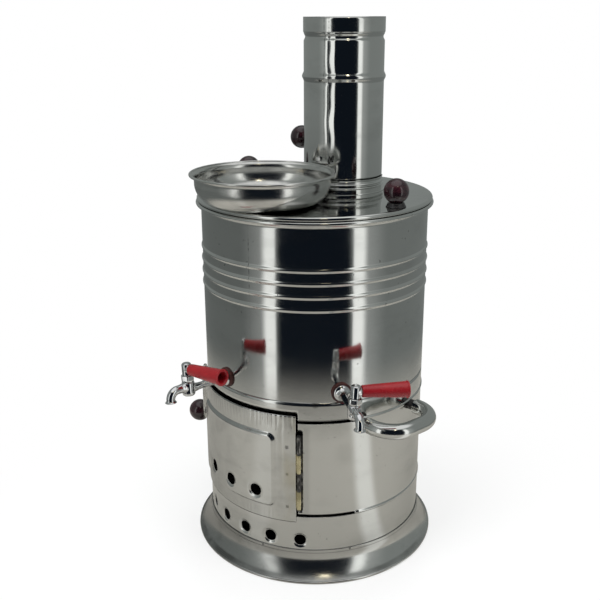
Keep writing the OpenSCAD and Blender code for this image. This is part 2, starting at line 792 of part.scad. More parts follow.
module lid_collar() {
    r = collar_in + lid_t;
    rise = 1.4;
    wall = concat([[r, lid_top]], ridge(r, lid_top + 4.2, rise, 1.8), ridge(r, lid_top + 8.4, rise, 1.8),
        [[r, lid_top + collar_h - 1.4], [r + rise / 2, lid_top + collar_h]]);
    color(STEEL) translate([0, pipe_back, 0]) rotate_extrude() {
        polygon(strip(wall, lid_t));
        translate([collar_in + lid_t / 2, lid_top]) square([4, lid_t]);
    }
}

// A ball knob standing upright on a ferrule of height h
module upright_ball(h) {
    translate([0, 0, h]) difference() {
        translate([0, 0, ball_r * 0.88]) sphere(r = ball_r);
        translate([-ball_r, -ball_r, -2 * ball_r]) cube(2 * ball_r);
        translate([0, 0, -1]) cylinder(r = screw_r + snug, h = ball_r + 1);
    }
}

module lid_knob_right() { color(DARK) at_lid_knobs([90]) upright_ball(ferrule_h); }

module lid_knob_left() { color(DARK) at_lid_knobs([-90]) upright_ball(ferrule_h); }

module lid_ferrules() {
    color(BLACK) at_lid_knobs() difference() {
        cylinder(r1 = ferrule_r, r2 = ferrule_r * 0.82, h = ferrule_h);
        translate([0, 0, -1]) cylinder(r = screw_r + snug, h = ferrule_h + 2);
    }
}

module lid_screws() {
    color(CHROME) at_lid_knobs() {
        translate([0, 0, -lid_t - 2]) cylinder(r = screw_r * 1.8, h = 2);
        translate([0, 0, -lid_t - 1]) cylinder(r = screw_r, h = ferrule_h + ball_r * 0.9 + lid_t + 1);
    }
}

module at_pipe(a = 0) { translate([0, pipe_back, 0]) at(a) children(); }

module chimney_pipe() {
    foot_z = lid_top + loose;
    top = lid_top + pipe_h;
    shoulder_z = lid_top + pipe_neck + 2;
    bead_z = top - 58.7;
    groove_z = top - 19.6;
    wall = concat([[spigot_r, foot_z], [spigot_r, shoulder_z - 2], [pipe_r, shoulder_z]],
        ridge(pipe_r, bead_z, 1.8, 5.5),
        ridge(pipe_r, groove_z, -1.5, 4.2),
        [[pipe_r + socket_rise, top - socket_h], [pipe_r + socket_rise, top]]);
    color(STEEL) at_pipe() difference() {
        union() {
            rotate_extrude() polygon(strip(wall, pipe_t));
            sector(pipe_r - pipe_t / 2, pipe_r + pipe_t, shoulder_z + 1, bead_z - 6,
                pipe_seam_a, pipe_seam_a + pipe_seam_w);
        }
        at(pipe_knob_a) bar(screw_r + snug, 0, pipe_r + 5, pipe_knob_z);
        at(hook_a) bar(rivet_r + snug, 0, pipe_r + 5, hook_z);
    }
}

module chimney_ferrule() {
    color(BLACK) at_pipe(pipe_knob_a) difference() {
        translate([0, -pipe_r + 2, pipe_knob_z]) rotate([90, 0, 0])
            cylinder(r1 = ferrule_r - 0.5, r2 = ferrule_r - 1.5, h = pipe_ferrule_h + 2);
        translate([0, 0, lid_top]) cylinder(r = pipe_r + skin, h = pipe_h, $fn = fine);
        bar(screw_r + snug, 0, pipe_r + 9, pipe_knob_z);
    }
}

module chimney_knob() {
    color(DARK) at_pipe(pipe_knob_a) ball(pipe_r + pipe_ferrule_h, pipe_knob_z);
}

module chimney_screw() {
    u = pipe_r - pipe_t - 0.3;
    l = pipe_t + pipe_ferrule_h + ball_r * 0.9 + 0.3;
    color(CHROME) at_pipe(pipe_knob_a) knob_screw(u, pipe_knob_z, l);
}

// A riveted clip with a ring, low on the pipe beside its seam
module pipe_hook() {
    r0 = pipe_r + skin;
    clip_t = 0.9;
    r1 = r0 + clip_t;
    clip_h = 4.5;
    step_a = pipe_seam_a - 0.4;
    ring_r = 3.2;
    color(STEEL) at_pipe() difference() {
        union() {
            sector(r0, r1, hook_z - clip_h, hook_z + clip_h, hook_a - 5.7, step_a);
            sector(r1 - skin, r1 - skin + clip_t, hook_z - clip_h, hook_z + clip_h, step_a - 1, ring_a);
            sector(r1 - skin, r1 + 1.1, hook_z - 2, hook_z + 2, ring_a - 1, ring_a + 1);
            at(ring_a) translate([0, -r1 - ring_r - 0.3, hook_z]) rotate([0, 90, 0])
                rotate_extrude() translate([ring_r, 0]) circle(clip_t, $fn = 32);
        }
        at(hook_a) bar(rivet_r + snug, 0, pipe_r + 5, hook_z);
    }
}

module pipe_rivet() {
    color(CHROME) at_pipe(hook_a) {
        bar(rivet_r, pipe_r - 2.2, pipe_r + rivet_r, hook_z);
        bar(2 * rivet_r, pipe_r + 1, pipe_r + 2.1, hook_z);
        bar(1.85 * rivet_r, pipe_r - 2.4, pipe_r - pipe_t - 0.1, hook_z);
    }
}

module dish() {
    neck = dish_r - 6.4;
    bend = 22;
    roll = 1.2;
    top = dish_z + dish_h;
    wall = concat([[0, dish_z]], arc([neck - bend, dish_z + bend], bend, -90, 0, 12),
        [[neck, top - 5.6], [neck + 1.6, top - 3.4], [dish_r - roll - 0.9, top - roll - 0.6]]);
    color(STEEL) translate([dish_x, dish_y, 0]) rotate_extrude() {
        polygon(strip(wall, dish_t));
        translate([dish_r - roll, top - roll]) circle(roll, $fn = 32);
    }
}

foot();
base_plate();
firebox_shell();
door_stop();
hinge_leaf_fixed();
hinge_pin();
latch_pivot();
latch_spacer();
grate_ring();
grate();
tank_floor();
tank_shell();
flue_flange();
flue_tube();
handle_right();
handle_left();
handle_collars();
handle_washers();
handle_bolts();
gasket_front();
tap_front();
gland_front();
inner_washer_front();
inner_nut_front();
plug_front();
lever_front();
gasket_side();
tap_side();
gland_side();
inner_washer_side();
inner_nut_side();
plug_side();
lever_side();
door();
hinge_leaf_door();
latch_arm();
latch_knob();
latch_screw();
lid();
lid_collar();
lid_knob_right();
lid_knob_left();
lid_ferrules();
lid_screws();
chimney_pipe();
chimney_knob();
chimney_ferrule();
chimney_screw();
pipe_hook();
pipe_rivet();
dish();
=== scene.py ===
import bpy
import numpy as np
from mathutils import Matrix, Vector


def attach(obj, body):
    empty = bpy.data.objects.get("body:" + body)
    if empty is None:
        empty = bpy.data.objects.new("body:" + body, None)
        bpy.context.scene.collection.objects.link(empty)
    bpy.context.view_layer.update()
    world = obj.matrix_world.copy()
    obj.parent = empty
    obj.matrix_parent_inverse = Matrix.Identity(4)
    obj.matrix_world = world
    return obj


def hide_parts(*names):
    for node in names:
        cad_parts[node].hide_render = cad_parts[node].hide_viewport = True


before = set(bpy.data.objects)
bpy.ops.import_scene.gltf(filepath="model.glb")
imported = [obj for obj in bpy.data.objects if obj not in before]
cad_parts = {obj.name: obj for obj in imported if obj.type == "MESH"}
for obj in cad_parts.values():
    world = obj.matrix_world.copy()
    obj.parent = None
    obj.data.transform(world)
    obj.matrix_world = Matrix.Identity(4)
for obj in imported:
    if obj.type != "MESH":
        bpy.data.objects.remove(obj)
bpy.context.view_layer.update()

# Foot: one sheet of stainless steel spun like a bell's mouth, with a rolled lower edge, a
# pressed line below its upright collar and, inside, the ledge that the firebox stands on.


METRE = 0.001
SHARP_ANGLE = 35
WELD_STEPS, WELD_SHIFT = 1e3, 0.137


def grid_quads(rows, columns, start=0):
    """The four corners of each cell in a grid of points that are numbered row by row."""
    i = np.arange(rows * columns).reshape(rows, columns) + start
    return np.stack([i[:-1, :-1], i[:-1, 1:], i[1:, 1:], i[1:, :-1]], -1).reshape(-1, 4)


def mesh(name, surfaces, material, body, nodes, sheet=0.0):
    """One piece from grids of points (rows, columns, 3) or (points, quads), in millimetres.

    Equal points are welded, so seams and poles close, and a quad that lost a corner is a
    triangle. Columns run round and rows run up, which makes every face look outward. A
    sheet's thickness is added on the inside.
    """
    points, quads, count = [], [], 0
    for surface in surfaces:
        if isinstance(surface, tuple):
            these, corners = surface
        else:
            these, corners = surface.reshape(-1, 3), grid_quads(*surface.shape[:2])
        points.append(these)
        quads.append(corners + count)
        count += len(these)
    points, quads = np.concatenate(points), np.concatenate(quads)
    place = np.round(points * WELD_STEPS + WELD_SHIFT)
    _, first, index = np.unique(place, axis=0, return_index=True, return_inverse=True)
    quads = index.reshape(-1)[quads]
    keep = quads != np.roll(quads, 1, axis=1)
    size = keep.sum(1)
    keep &= (size > 2)[:, None]
    size = size[size > 2]
    corners = quads[keep]
    made = bpy.data.meshes.new(name)
    made.vertices.add(len(first))
    made.vertices.foreach_set("co", (points[first] * METRE).ravel())
    made.loops.add(len(corners))
    made.loops.foreach_set("vertex_index", corners)
    made.polygons.add(len(size))
    made.polygons.foreach_set("loop_start", np.cumsum(size) - size)
    made.update(calc_edges=True)
    made.validate()
    made.shade_smooth()
    made.set_sharp_from_angle(angle=np.radians(SHARP_ANGLE))
    made.materials.append(material)
    piece = bpy.data.objects.new(name, made)
    bpy.context.scene.collection.objects.link(piece)
    if sheet:
        solid = piece.modifiers.new("sheet", "SOLIDIFY")
        solid.thickness, solid.offset, solid.use_even_offset = sheet * METRE, -1, True
    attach(piece, body)
    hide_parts(*nodes)


def lathe(profile, steps=128, centre=(0, 0, 0), axis=(0, 0, 1)):
    """A turned surface: each (radius, height) of the profile goes once round the axis."""
    profile = np.asarray(profile, float)
    axis = np.asarray(axis, float) / np.linalg.norm(axis)
    across = np.cross((1, 0, 0) if abs(axis[0]) < 0.9 else (0, 1, 0), axis)
    across /= np.linalg.norm(across)
    turn = np.linspace(0, 2 * np.pi, steps + 1)[None, :, None]
    ring = np.cos(turn) * across + np.sin(turn) * np.cross(axis, across)
    return np.asarray(centre) + profile[:, 0, None, None] * ring + profile[:, 1, None, None] * axis


def strip(path, thick):
    """A path in (radius, height) that goes up the outside, thickened inward and closed."""
    path = np.asarray(path, float)
    way = np.gradient(path, axis=0)
    inward = np.stack([-way[:, 1], way[:, 0]], 1) / np.linalg.norm(way, axis=1)[:, None]
    return np.concatenate([path, (path + thick * inward)[::-1], path[:1]])


def bend(a, b, c, d, n=24):
    """n + 1 points on a cubic curve from a to d, drawn towards b and c on the way."""
    t = np.linspace(0, 1, n + 1)[:, None]
    a, b, c, d = map(np.asarray, (a, b, c, d))
    return (1 - t) ** 3 * a + 3 * (1 - t) ** 2 * t * b + 3 * (1 - t) * t**2 * c + t**3 * d


def arc(centre, radius, start, end, n=24):
    """n + 1 points on a circle round centre, from the start angle to the end, in degrees."""
    t = np.radians(np.linspace(start, end, n + 1))
    return np.stack([centre[0] + radius * np.cos(t), centre[1] + radius * np.sin(t)], 1)


DEGREES = 180 / np.pi


class Socket:
    """A node's output. Arithmetic on it adds Math nodes, and node() adds any other node."""

    def __init__(self, tree, out):
        self.tree, self.out = tree, out

    def node(self, kind, settings, values, result=0):
        """A new node of that kind: its settings first, then its sockets' values or links."""
        new = self.tree.nodes.new(kind)
        for name, value in settings.items():
            setattr(new, name, value)
        for name, value in values.items():
            if isinstance(value, Socket):
                self.tree.links.new(value.out, new.inputs[name])
            else:
                new.inputs[name].default_value = value
        return Socket(self.tree, new.outputs[result])

    def math(self, operation, *values):
        return self.node("ShaderNodeMath", {"operation": operation}, dict(enumerate(values)))

    def __add__(self, other):
        return self.math("ADD", self, other)

    def __sub__(self, other):
        return self.math("SUBTRACT", self, other)

    def __rsub__(self, other):
        return self.math("SUBTRACT", other, self)

    def __mul__(self, other):
        return self.math("MULTIPLY", self, other)

    __radd__, __rmul__ = __add__, __mul__

    def part(self, name):
        """One of X, Y and Z of a vector."""
        return self.node("ShaderNodeSeparateXYZ", {}, {"Vector": self}, name)

    def turn(self):
        """The angle round the barrel in degrees, from the door's middle towards the right handle."""
        return self.math("ARCTAN2", self.part("X"), 0 - self.part("Y")) * DEGREES

    def rise(self, low, high):
        """0 up to low, 1 from high on, and smooth between them."""
        settings = {"interpolation_type": "SMOOTHSTEP"}
        values = {"Value": self, "From Min": low, "From Max": high}
        return self.node("ShaderNodeMapRange", settings, values)

    def band(self, middle, half, soft):
        """1 within half of the middle, fading to 0 over a width of soft."""
        return 1 - self.math("ABSOLUTE", self - middle).rise(half, half + soft)

    def near(self, point, inner, outer):
        """1 within inner millimetres of a point, fading to 0 at outer."""
        spot = tuple(METRE * v for v in point)
        away = self.node("ShaderNodeVectorMath", {"operation": "DISTANCE"}, {0: self, 1: spot}, "Value")
        return 1 - away.rise(inner * METRE, outer * METRE)

    def moved(self, x, y):
        """The same place measured from a point x and y millimetres off the barrel's axis."""
        away = {"Vector": self, "Location": (-x * METRE, -y * METRE, 0.0)}
        return self.node("ShaderNodeMapping", {}, away)

    def noise(self, x, y, z, detail=2.0, rough=0.5, shift=0.0):
        """Cloudy noise from 0 to 1 with x, y and z waves to the metre."""
        scaled = {"Vector": self, "Scale": (x, y, z), "Location": (shift, shift, shift)}
        place = self.node("ShaderNodeMapping", {}, scaled)
        values = {"Vector": place, "Scale": 1.0, "Detail": detail, "Roughness": rough}
        return self.node("ShaderNodeTexNoise", {}, values)

    def mix(self, off, on):
        """A colour that is off where this mask is 0 and on where it is 1."""
        ends = [v if isinstance(v, Socket) else (*v, 1.0) for v in (off, on)]
        return self.node("ShaderNodeMix", {"data_type": "RGBA"}, {0: self, 6: ends[0], 7: ends[1]}, 2)

    def bump(self):
        """A Normal from this height over the surface, in metres."""
        return self.node("ShaderNodeBump", {}, {"Height": self, "Distance": 1.0, "Strength": 1.0}, "Normal")


def finish(name, look):
    """A material: look is given the piece's own coordinates and returns the shader's sockets."""
    material = bpy.data.materials.new(name)
    material.use_nodes = True
    tree = material.node_tree
    shader = tree.nodes["Principled BSDF"]
    place = Socket(tree, tree.nodes.new("ShaderNodeTexCoord").outputs["Object"])
    for socket, value in look(place).items():
        if isinstance(value, Socket):
            tree.links.new(value.out, shader.inputs[socket])
        else:
            shader.inputs[socket].default_value = value
    return material


def polished(place, marks_and_shade=None, rough=0.075, dent=0.10, tone=(0.63, 0.635, 0.62)):
    """Polished sheet: slow dents from rolling, a fine grain round it, smears, and darker marks, into which
    some callers also mix painted shade.
    """
    dents = place.noise(13, 13, 5, 1.0) * (dent * METRE)
    ripple = place.noise(60, 60, 14, 2.0, shift=3.1)
    grain = place.noise(9, 9, 1700, 1.0)
    smear = place.noise(11, 11, 26, 4.0, 0.6, shift=7.7).rise(0.45, 0.8)
    # The marks darken the colour; where a caller passes painted shade in them, that darkening is painted
    # shade.
    dark = smear * 0.25 if marks_and_shade is None else smear.math("MINIMUM", smear * 0.25 + marks_and_shade, 1.0)
    return {
        "Base Color": dark.mix(tone, tuple(0.28 * v for v in tone)),
        "Metallic": 1.0,
        "Roughness": rough + grain * 0.03 + smear * 0.05 + dark * 0.12,
        "Normal": (dents + ripple * 6e-6 + grain * 6e-7 - dark * 1e-5).bump(),
    }


def foot_steel(place):
    """Polished, with the collar's joint and its two clinches, grime low down, and painted shade darkening
    one side.
    """
    height, turn = place.part("Z"), place.turn()
    joint = height.band(0.0284, 0.0002, 0.0005) + height.band(0.0318, 0.0001, 0.0004)
    clinch = height.band(0.0305, 0.0008, 0.0008) * (turn.band(22, 0.3, 0.4) + turn.band(67.3, 0.4, 0.4))
    grime = height.band(0.0045, 0.0006, 0.0022) * place.noise(25, 25, 60, 3.0).rise(0.3, 0.75)
    worn = place.noise(34, 34, 34, 4.0, 0.65, shift=2.0).rise(0.52, 0.8) * 0.3
    # Painted shade: one side of the foot is darkened, fading out round towards the right handle.
    shade = (1 - turn.rise(-20, 75)) * 0.6
    return polished(place, joint * 0.5 + clinch * 0.7 + grime * 0.6 + worn + shade, rough=0.14, dent=0.07)


wall = 0.8
roll_r, ledge_z, upright_r = 134.4, 27.0, 120.9
foot_wall = np.concatenate([
    bend((roll_r, 2.56), (130.4, 6.06), (121.7, 15.0), (upright_r, 25.0), 40),
    bend((upright_r, 27.6), (120.83, 28.2), (120.83, 28.6), (upright_r, 29.2), 6),
    [(upright_r, 31.6), (120.75, 32.0)],
])
foot_roll = arc((roll_r, 1.44), 1.6, -90, 270, 40)
foot_roll[:, 1] = np.maximum(foot_roll[:, 1], 0.0)


def flat_ring(inner, outer, top, thick):
    """The closed outline of a ring with a square section."""
    low = top - thick
    return [(inner, low), (outer, low), (outer, top), (inner, top), (inner, low)]


foot_ledge = flat_ring(114.0, 120.5, ledge_z, wall)
mesh(
    "foot",
    [lathe(strip(foot_wall, wall), 256), lathe(foot_roll, 256), lathe(foot_ledge, 192)],
    finish("foot_steel", foot_steel), "samovar", ["foot"],
)

# Ash floor, grate and the ring that carries it: plain sheet and a cast grate that lie loose in
# the firebox. They are seen only through the door and the air holes, darkened by ash.


def coat(material, *nodes):
    """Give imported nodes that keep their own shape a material."""
    for node in nodes:
        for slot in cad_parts[node].material_slots:
            slot.material = material


def ash_steel(place):
    """Plain sheet, clouded with soot."""
    soot = place.noise(30, 30, 30, 5.0, 0.65).rise(0.35, 0.7)
    return {
        "Base Color": soot.mix((0.42, 0.41, 0.39), (0.13, 0.12, 0.11)),
        "Metallic": 1.0,
        "Roughness": 0.32 + soot * 0.3,
        "Normal": (place.noise(300, 300, 300, 2.0) * 0.00002).bump(),
    }


def cast_iron(place):
    """Rough black casting with patches of rust."""
    pits = place.noise(420, 420, 420, 4.0, 0.7)
    rust = place.noise(28, 28, 28, 4.0, 0.6).rise(0.5, 0.75)
    return {
        "Base Color": rust.mix((0.045, 0.043, 0.042), (0.11, 0.055, 0.03)),
        "Metallic": 0.6,
        "Roughness": 0.55 + rust * 0.3,
        "Normal": (pits * 0.0003).bump(),
    }


dull_sheet = finish("ash_steel", ash_steel)
coat(dull_sheet, "base_plate", "grate_ring", "door_stop", "tank_floor", "flue_flange")
coat(finish("cast_iron", cast_iron), "grate")

# Firebox shell: a rolled cylinder of polished sheet with the door's opening, a ridge rolled
# under and over it, two draught slits beside the hinge and a row of punched, dished air holes.


def lines(start, end, step, stops=(), finer=()):
    """Places from start to end at most step apart, through every stop, closer in finer spans."""
    ends = np.concatenate([[start, end], list(stops), *[span[:2] for span in finer]])
    ends = np.unique(ends.round(6))
    ends = ends[(ends >= start) & (ends <= end)]
    parts = []
    for a, b in zip(ends[:-1], ends[1:]):
        close = min([step] + [s for low, high, s in finer if low <= (a + b) / 2 <= high])
        parts.append(np.linspace(a, b, int(np.ceil((b - a) / close - 1e-6)) + 1)[:-1])
    return np.concatenate([*parts, [end]])


def pierced(u, v, holes=(), cuts=(), rings=7):
    """A flat sheet on the lines u and v, as points (n, 2) and quads.

    Round each hole (u, v, radius, half) the square of lines is drawn in to the circle by
    rings that lie closer towards it, and each cut (u0, u1, v0, v1) is left out.
    """
    points = np.stack(np.meshgrid(u, v), -1).reshape(-1, 2)
    quads = grid_quads(len(v), len(u))
    mid_u, mid_v = points[quads].mean(1).T
    keep = np.ones(len(quads), bool)
    for u0, u1, v0, v1 in cuts:
        keep &= ~((mid_u > u0) & (mid_u < u1) & (mid_v > v0) & (mid_v < v1))
    made, faces = [points], []
    count = len(points)
    for cu, cv, radius, half in holes:
        keep &= ~((abs(mid_u - cu) < half) & (abs(mid_v - cv) < half))
        a, b = u[abs(u - cu) < half + 1e-3], v[abs(v - cv) < half + 1e-3]
        sides = [(a[:-1], b[0]), (a[-1], b[:-1]), (a[:0:-1], b[-1]), (a[0], b[::-1])]
        square = np.concatenate([np.stack(np.broadcast_arrays(x, y), 1) for x, y in sides])
        way = square - (cu, cv)
        circle = (cu, cv) + radius * way / np.linalg.norm(way, axis=1)[:, None]
        t = (1 - (1 - np.linspace(0, 1, rings + 1)) ** 1.5)[:, None, None]
        grid = (1 - t) * square + t * circle
        faces.append(grid_quads(*grid.shape[:2], count))
        made.append(grid.reshape(-1, 2))
        count += grid.shape[0] * grid.shape[1]
    return np.concatenate(made), np.concatenate([quads[keep], *faces])


def rolled(flat, radius, relief):
    """Roll a flat sheet round the barrel: u is the length round it at that radius, v the height."""
    points, quads = flat
    turn = points[:, 0] / radius
    out = radius + relief(points[:, 0], points[:, 1])
    return np.stack([out * np.sin(turn), -out * np.cos(turn), points[:, 1]], 1), quads


def ridge(v, middle, rise, half):
    """A rolled ridge: one wave of a cosine over twice half, and nothing outside it."""
    t = np.clip(abs(v - middle) / half, 0, 1)
    return rise * (1 + np.cos(np.pi * t)) / 2


def dimples(u, v, holes, deep, wide):
    """The sheet drawn in round each hole, deepest at its edge."""
    away = [np.hypot(u - cu, v - cv) - radius for cu, cv, radius, half in holes]
    return -deep * np.exp(-((np.clip(np.min(away, 0), 0, None) / wide) ** 2))


barrel, seam_z = 120.0, 202.0
degree = np.pi * barrel / 180
hole_z, hole_r, hole_half = 43.0, 6.4, 9.6
shell_holes = [((2.3 + (i - 2.5) * 15.8) * degree, hole_z, hole_r, hole_half) for i in range(6)]
free_edge, hinge_edge, knuckle_edge, slit_end = (a * degree for a in (-41.6, 40.9, 43.3, 69.8))
opening_low, opening_top = 71.0, 188.9
low_ridge, high_ridge, ridge_rise, ridge_half = 72.8, 180.0, 1.0, 2.4
slits = [(z - 1.8, z + 1.8) for z in (low_ridge, high_ridge)]
knuckle_gap = (78.1, 169.1)
shell_cuts = [
    (free_edge, hinge_edge, opening_low, opening_top),
    (hinge_edge, knuckle_edge, *knuckle_gap),
    *[(hinge_edge, slit_end, *slit) for slit in slits],
]
shell_u = lines(
    -180 * degree, 180 * degree, 5.0, [free_edge, hinge_edge, knuckle_edge, slit_end],
    [(cu - half, cu + half, 1.2) for cu, cv, radius, half in shell_holes],
)
shell_v = lines(
    ledge_z, seam_z, 6.0, [*slits[0], *slits[1], *knuckle_gap, opening_low, opening_top],
    [(hole_z - hole_half, hole_z + hole_half, 1.2)]
    + [(z - 2.6, z + 2.6, 0.35) for z in (low_ridge, high_ridge)],
)


def shell_ridges(v):
    """The rise of the two rolled ridges at the height v."""
    return sum(ridge(v, z, ridge_rise, ridge_half) for z in (low_ridge, high_ridge))


def shell_relief(u, v):
    """The shell's height over its cylinder: the two ridges and the drawn-in air holes."""
    return shell_ridges(v) + dimples(u, v, shell_holes, 1.3, 1.9)


def shell_steel(place):
    """Polished, with a weld's burn under the side tap, the seam, specks and hinge tarnish."""
    height, turn = place.part("Z"), place.turn()
    weld = place.near((91.4, -78.1, 199.7), 1.0, 4.5)
    seam = height.band(0.2015, 0.0002, 0.0005) * 0.6
    smudge = place.near((108.0, -52.2, 144.7), 3.0, 16.0) * 0.12
    specks = place.noise(260, 260, 260, 1.0, shift=5.0).rise(0.72, 0.78) * 0.35
    tarnish = turn.band(44, 1.2, 2.5) * height.band(0.122, 0.048, 0.01) * 0.2
    return polished(place, weld + seam + smudge + specks + tarnish, rough=0.105, dent=0.09)


mesh(
    "firebox_shell",
    [rolled(pierced(shell_u, shell_v, shell_holes, shell_cuts), barrel, shell_relief)],
    finish("firebox_steel", shell_steel), "samovar", ["firebox_shell"], sheet=wall,
)

# Door: a curved leaf of the same sheet, its margins crimped to take the curve, with a pressed
# panel, three air holes and three weld spots where the hinge's leaf is fixed behind it.
leaf, door_low, door_top = 121.6, 65.3, 187.0
leaf_degree = np.pi * leaf / 180
door_hole_z, door_hole_half = 95.9, 10.0
door_holes = [((2.0 + i * 16.8) * leaf_degree, door_hole_z, 6.7, door_hole_half) for i in (-1, 0, 1)]
panel_half, panel_low, panel_high, panel_corner = 63.4, 79.9, 165.9, 9.0
panel_step, panel_slope = 2.0, 3.2
crimp_pitch, weld_turn, weld_heights = 2.3, 35.7, (83, 121, 152)


def ramp(x, low, high):
    """0 up to low, 1 from high on, and straight between; the other way round if high is lower."""
    return np.clip((x - low) / (high - low), 0, 1)


def hump(x, middle, width):
    """A bell curve of height 1."""
    return np.exp(-(((x - middle) / width) ** 2))


def door_relief(u, v):
    """The leaf's height over its cylinder: the panel's step, a bead inside its edge, the crimps."""
    qu = abs(u) - (panel_half - panel_corner)
    qv = abs(v - (panel_low + panel_high) / 2) - ((panel_high - panel_low) / 2 - panel_corner)
    outside = np.hypot(np.clip(qu, 0, None), np.clip(qv, 0, None))
    inside = panel_corner - outside - np.minimum(np.maximum(qu, qv), 0)
    t = ramp(inside, 0, panel_slope)
    panel = panel_step * t * t * (3 - 2 * t) + 0.28 * hump(inside, 4.2, 1.3)
    turn = u / leaf_degree
    top = ramp(v, 170, 179) * ramp(turn, -36, -12)
    low = ramp(v, 79, 74) * ramp(turn, 2, 10) * ramp(turn, 34, 29)
    uneven = 0.65 + 0.35 * np.sin(turn * 1.7 + 0.8 * np.sin(turn * 0.61))
    wave = np.cos(2 * np.pi * turn / crimp_pitch + 0.5 * np.sin(turn * 0.9))
    crimps = wave * uneven * (0.24 * top + 0.11 * low)
    margin = 0.25 * hump(turn, 33.0, 0.9) * ramp(v, 72, 78) * ramp(v, 183, 177)
    away = [np.hypot(u - weld_turn * leaf_degree, v - z) for z in weld_heights]
    welds = 0.25 * sum(hump(a, 0, 1.6) for a in away)
    return panel + crimps - margin - welds + dimples(u, v, door_holes, 1.2, 1.9)


door_u = lines(
    -41.0 * leaf_degree, 40.12 * leaf_degree, 0.75,
    [cu + side * half for cu, cv, radius, half in door_holes for side in (-1, 1)],
)
door_v = lines(
    door_low, door_top, 1.5, [door_hole_z - door_hole_half, door_hole_z + door_hole_half],
    [(79.0, 85.9, 0.7), (161.0, 167.0, 0.7)],
)


def door_steel(place):
    """Duller polish, with the weld spots, tarnish by the hinge, a worn top edge, and painted shade
    darkening its left part, with random clouds in it.
    """
    height, turn = place.part("Z"), place.turn()
    sizes = zip(weld_heights, (0.35, 0.35, 0.45), (0.0008, 0.0008, 0.001))
    spots = sum(turn.band(weld_turn, half, 0.7) * height.band(z * METRE, tall, 0.0014)
                for z, half, tall in sizes)
    tarnish = turn.rise(31, 38) * place.noise(40, 40, 22, 3.0, 0.6).rise(0.4, 0.7)
    specks = place.noise(300, 300, 300, 1.0, shift=9.0).rise(0.73, 0.79) * 0.4
    cloud = place.noise(45, 45, 45, 3.0, 0.6, shift=2.5).rise(0.4, 0.8) * 0.2
    # Painted shade: the door's left part is darkened, fading out towards its middle; random clouds are
    # added to it.
    shade = (1 - turn.rise(-30, 25)) * 0.4 + cloud
    edge = height.rise(0.185, 0.1868) * place.noise(70, 70, 70, 2.0).rise(0.4, 0.6)
    marks_and_shade = spots * 0.7 + specks + tarnish * 0.12 + edge * 0.5 + shade
    made = polished(place, marks_and_shade, rough=0.15, dent=0.2)
    made["Base Color"] = (tarnish * 0.55).mix(made["Base Color"], (0.50, 0.46, 0.33))
    return made


mesh(
    "door", [rolled(pierced(door_u, door_v, door_holes), leaf, door_relief)],
    finish("door_steel", door_steel), "door", ["door"], sheet=wall,
)

# Hinge: four knuckles round a dark pin. The door's own knuckles and leaf are pale brass, the
# fixed ones darkened steel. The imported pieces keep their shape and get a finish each.


def brass(place):
    """Pale brass that has gone dull in clouds."""
    dull = place.noise(90, 90, 60, 4.0, 0.6).rise(0.35, 0.7)
    return {
        "Base Color": dull.mix((0.62, 0.56, 0.36), (0.40, 0.36, 0.22)),
        "Metallic": 1.0,
        "Roughness": 0.22 + dull * 0.18,
        "Normal": (place.noise(500, 500, 500, 2.0) * 0.00001).bump(),
    }


def plain_steel(place):
    """Unpolished bright steel."""
    dull = place.noise(120, 120, 120, 3.0, 0.6).rise(0.3, 0.75)
    return {
        "Base Color": dull.mix((0.56, 0.56, 0.54), (0.34, 0.34, 0.33)),
        "Metallic": 1.0,
        "Roughness": 0.18 + dull * 0.15,
        "Normal": (place.noise(60, 60, 2500, 1.0) * 0.000002).bump(),
    }


def dark_steel(place):
    """Blackened steel, worn bright in spots."""
    worn = place.noise(400, 400, 200, 2.0).rise(0.45, 0.75)
    return {
        "Base Color": worn.mix((0.07, 0.07, 0.07), (0.3, 0.3, 0.29)),
        "Metallic": 1.0,
        "Roughness": 0.4 - worn * 0.12,
        "Normal": (worn * 0.00002).bump(),
    }


bright_steel = finish("plain_steel", plain_steel)
black_steel = finish("dark_steel", dark_steel)
coat(finish("hinge_brass", brass), "hinge_leaf_door")
coat(black_steel, "hinge_pin", "hinge_leaf_fixed")

# Latch: a flat steel strip that hangs from a pivot beside the door, with a ball knob of dark
# maroon plastic screwed to its lower end. Every knob on the samovar is the same ball.
coat(bright_steel, "latch_arm")


def towards(a, x=0.0, u=0.0, z=0.0, middle=(0.0, 0.0)):
    """Points in the frame of something that faces the angle a: x sideways, u outward, z up."""
    x, u, z = np.broadcast_arrays(np.asarray(x, float), u, z)
    s, c = np.sin(np.radians(a)), np.cos(np.radians(a))
    return np.stack([middle[0] + x * c + u * s, middle[1] + x * s - u * c, z], -1)


def facing(a):
    """The direction outward at the angle a."""
    return (np.sin(np.radians(a)), -np.cos(np.radians(a)), 0.0)


ball = 12.5


def knob(at, out, cut, seat=0.0):
    """A ball turned about the line out of at, with a faint parting ridge round its middle.

    It is cut flat a share cut of its radius under its middle, and the flat lies at seat.
    """
    low = -90 + np.degrees(np.arccos(cut))
    t = np.linspace(low, 90, 49)
    radius = ball + 0.05 * hump(t, 0, 1.2)
    t = np.radians(t)
    turned = np.stack([radius * np.cos(t), seat + cut * ball + radius * np.sin(t)], 1)
    turned[-1, 0] = 0.0
    flat = turned[0, 1]
    return lathe([(0.0, flat), (turned[0, 0] - 0.6, flat), *turned], 64, at, out)


def maroon(place):
    """Near-black red plastic with a slight swirl, glossy but for fine scuffs."""
    swirl = place.noise(70, 70, 110, 3.0, 0.6).rise(0.4, 0.75)
    scuff = place.noise(900, 900, 900, 2.0).rise(0.6, 0.8)
    return {
        "Base Color": swirl.mix((0.011, 0.004, 0.006), (0.034, 0.008, 0.012)),
        "Roughness": 0.13 + swirl * 0.06 + scuff * 0.15,
        "Normal": (place.noise(220, 220, 220, 2.0) * 0.00002).bump(),
        "Coat Weight": 0.4,
    }


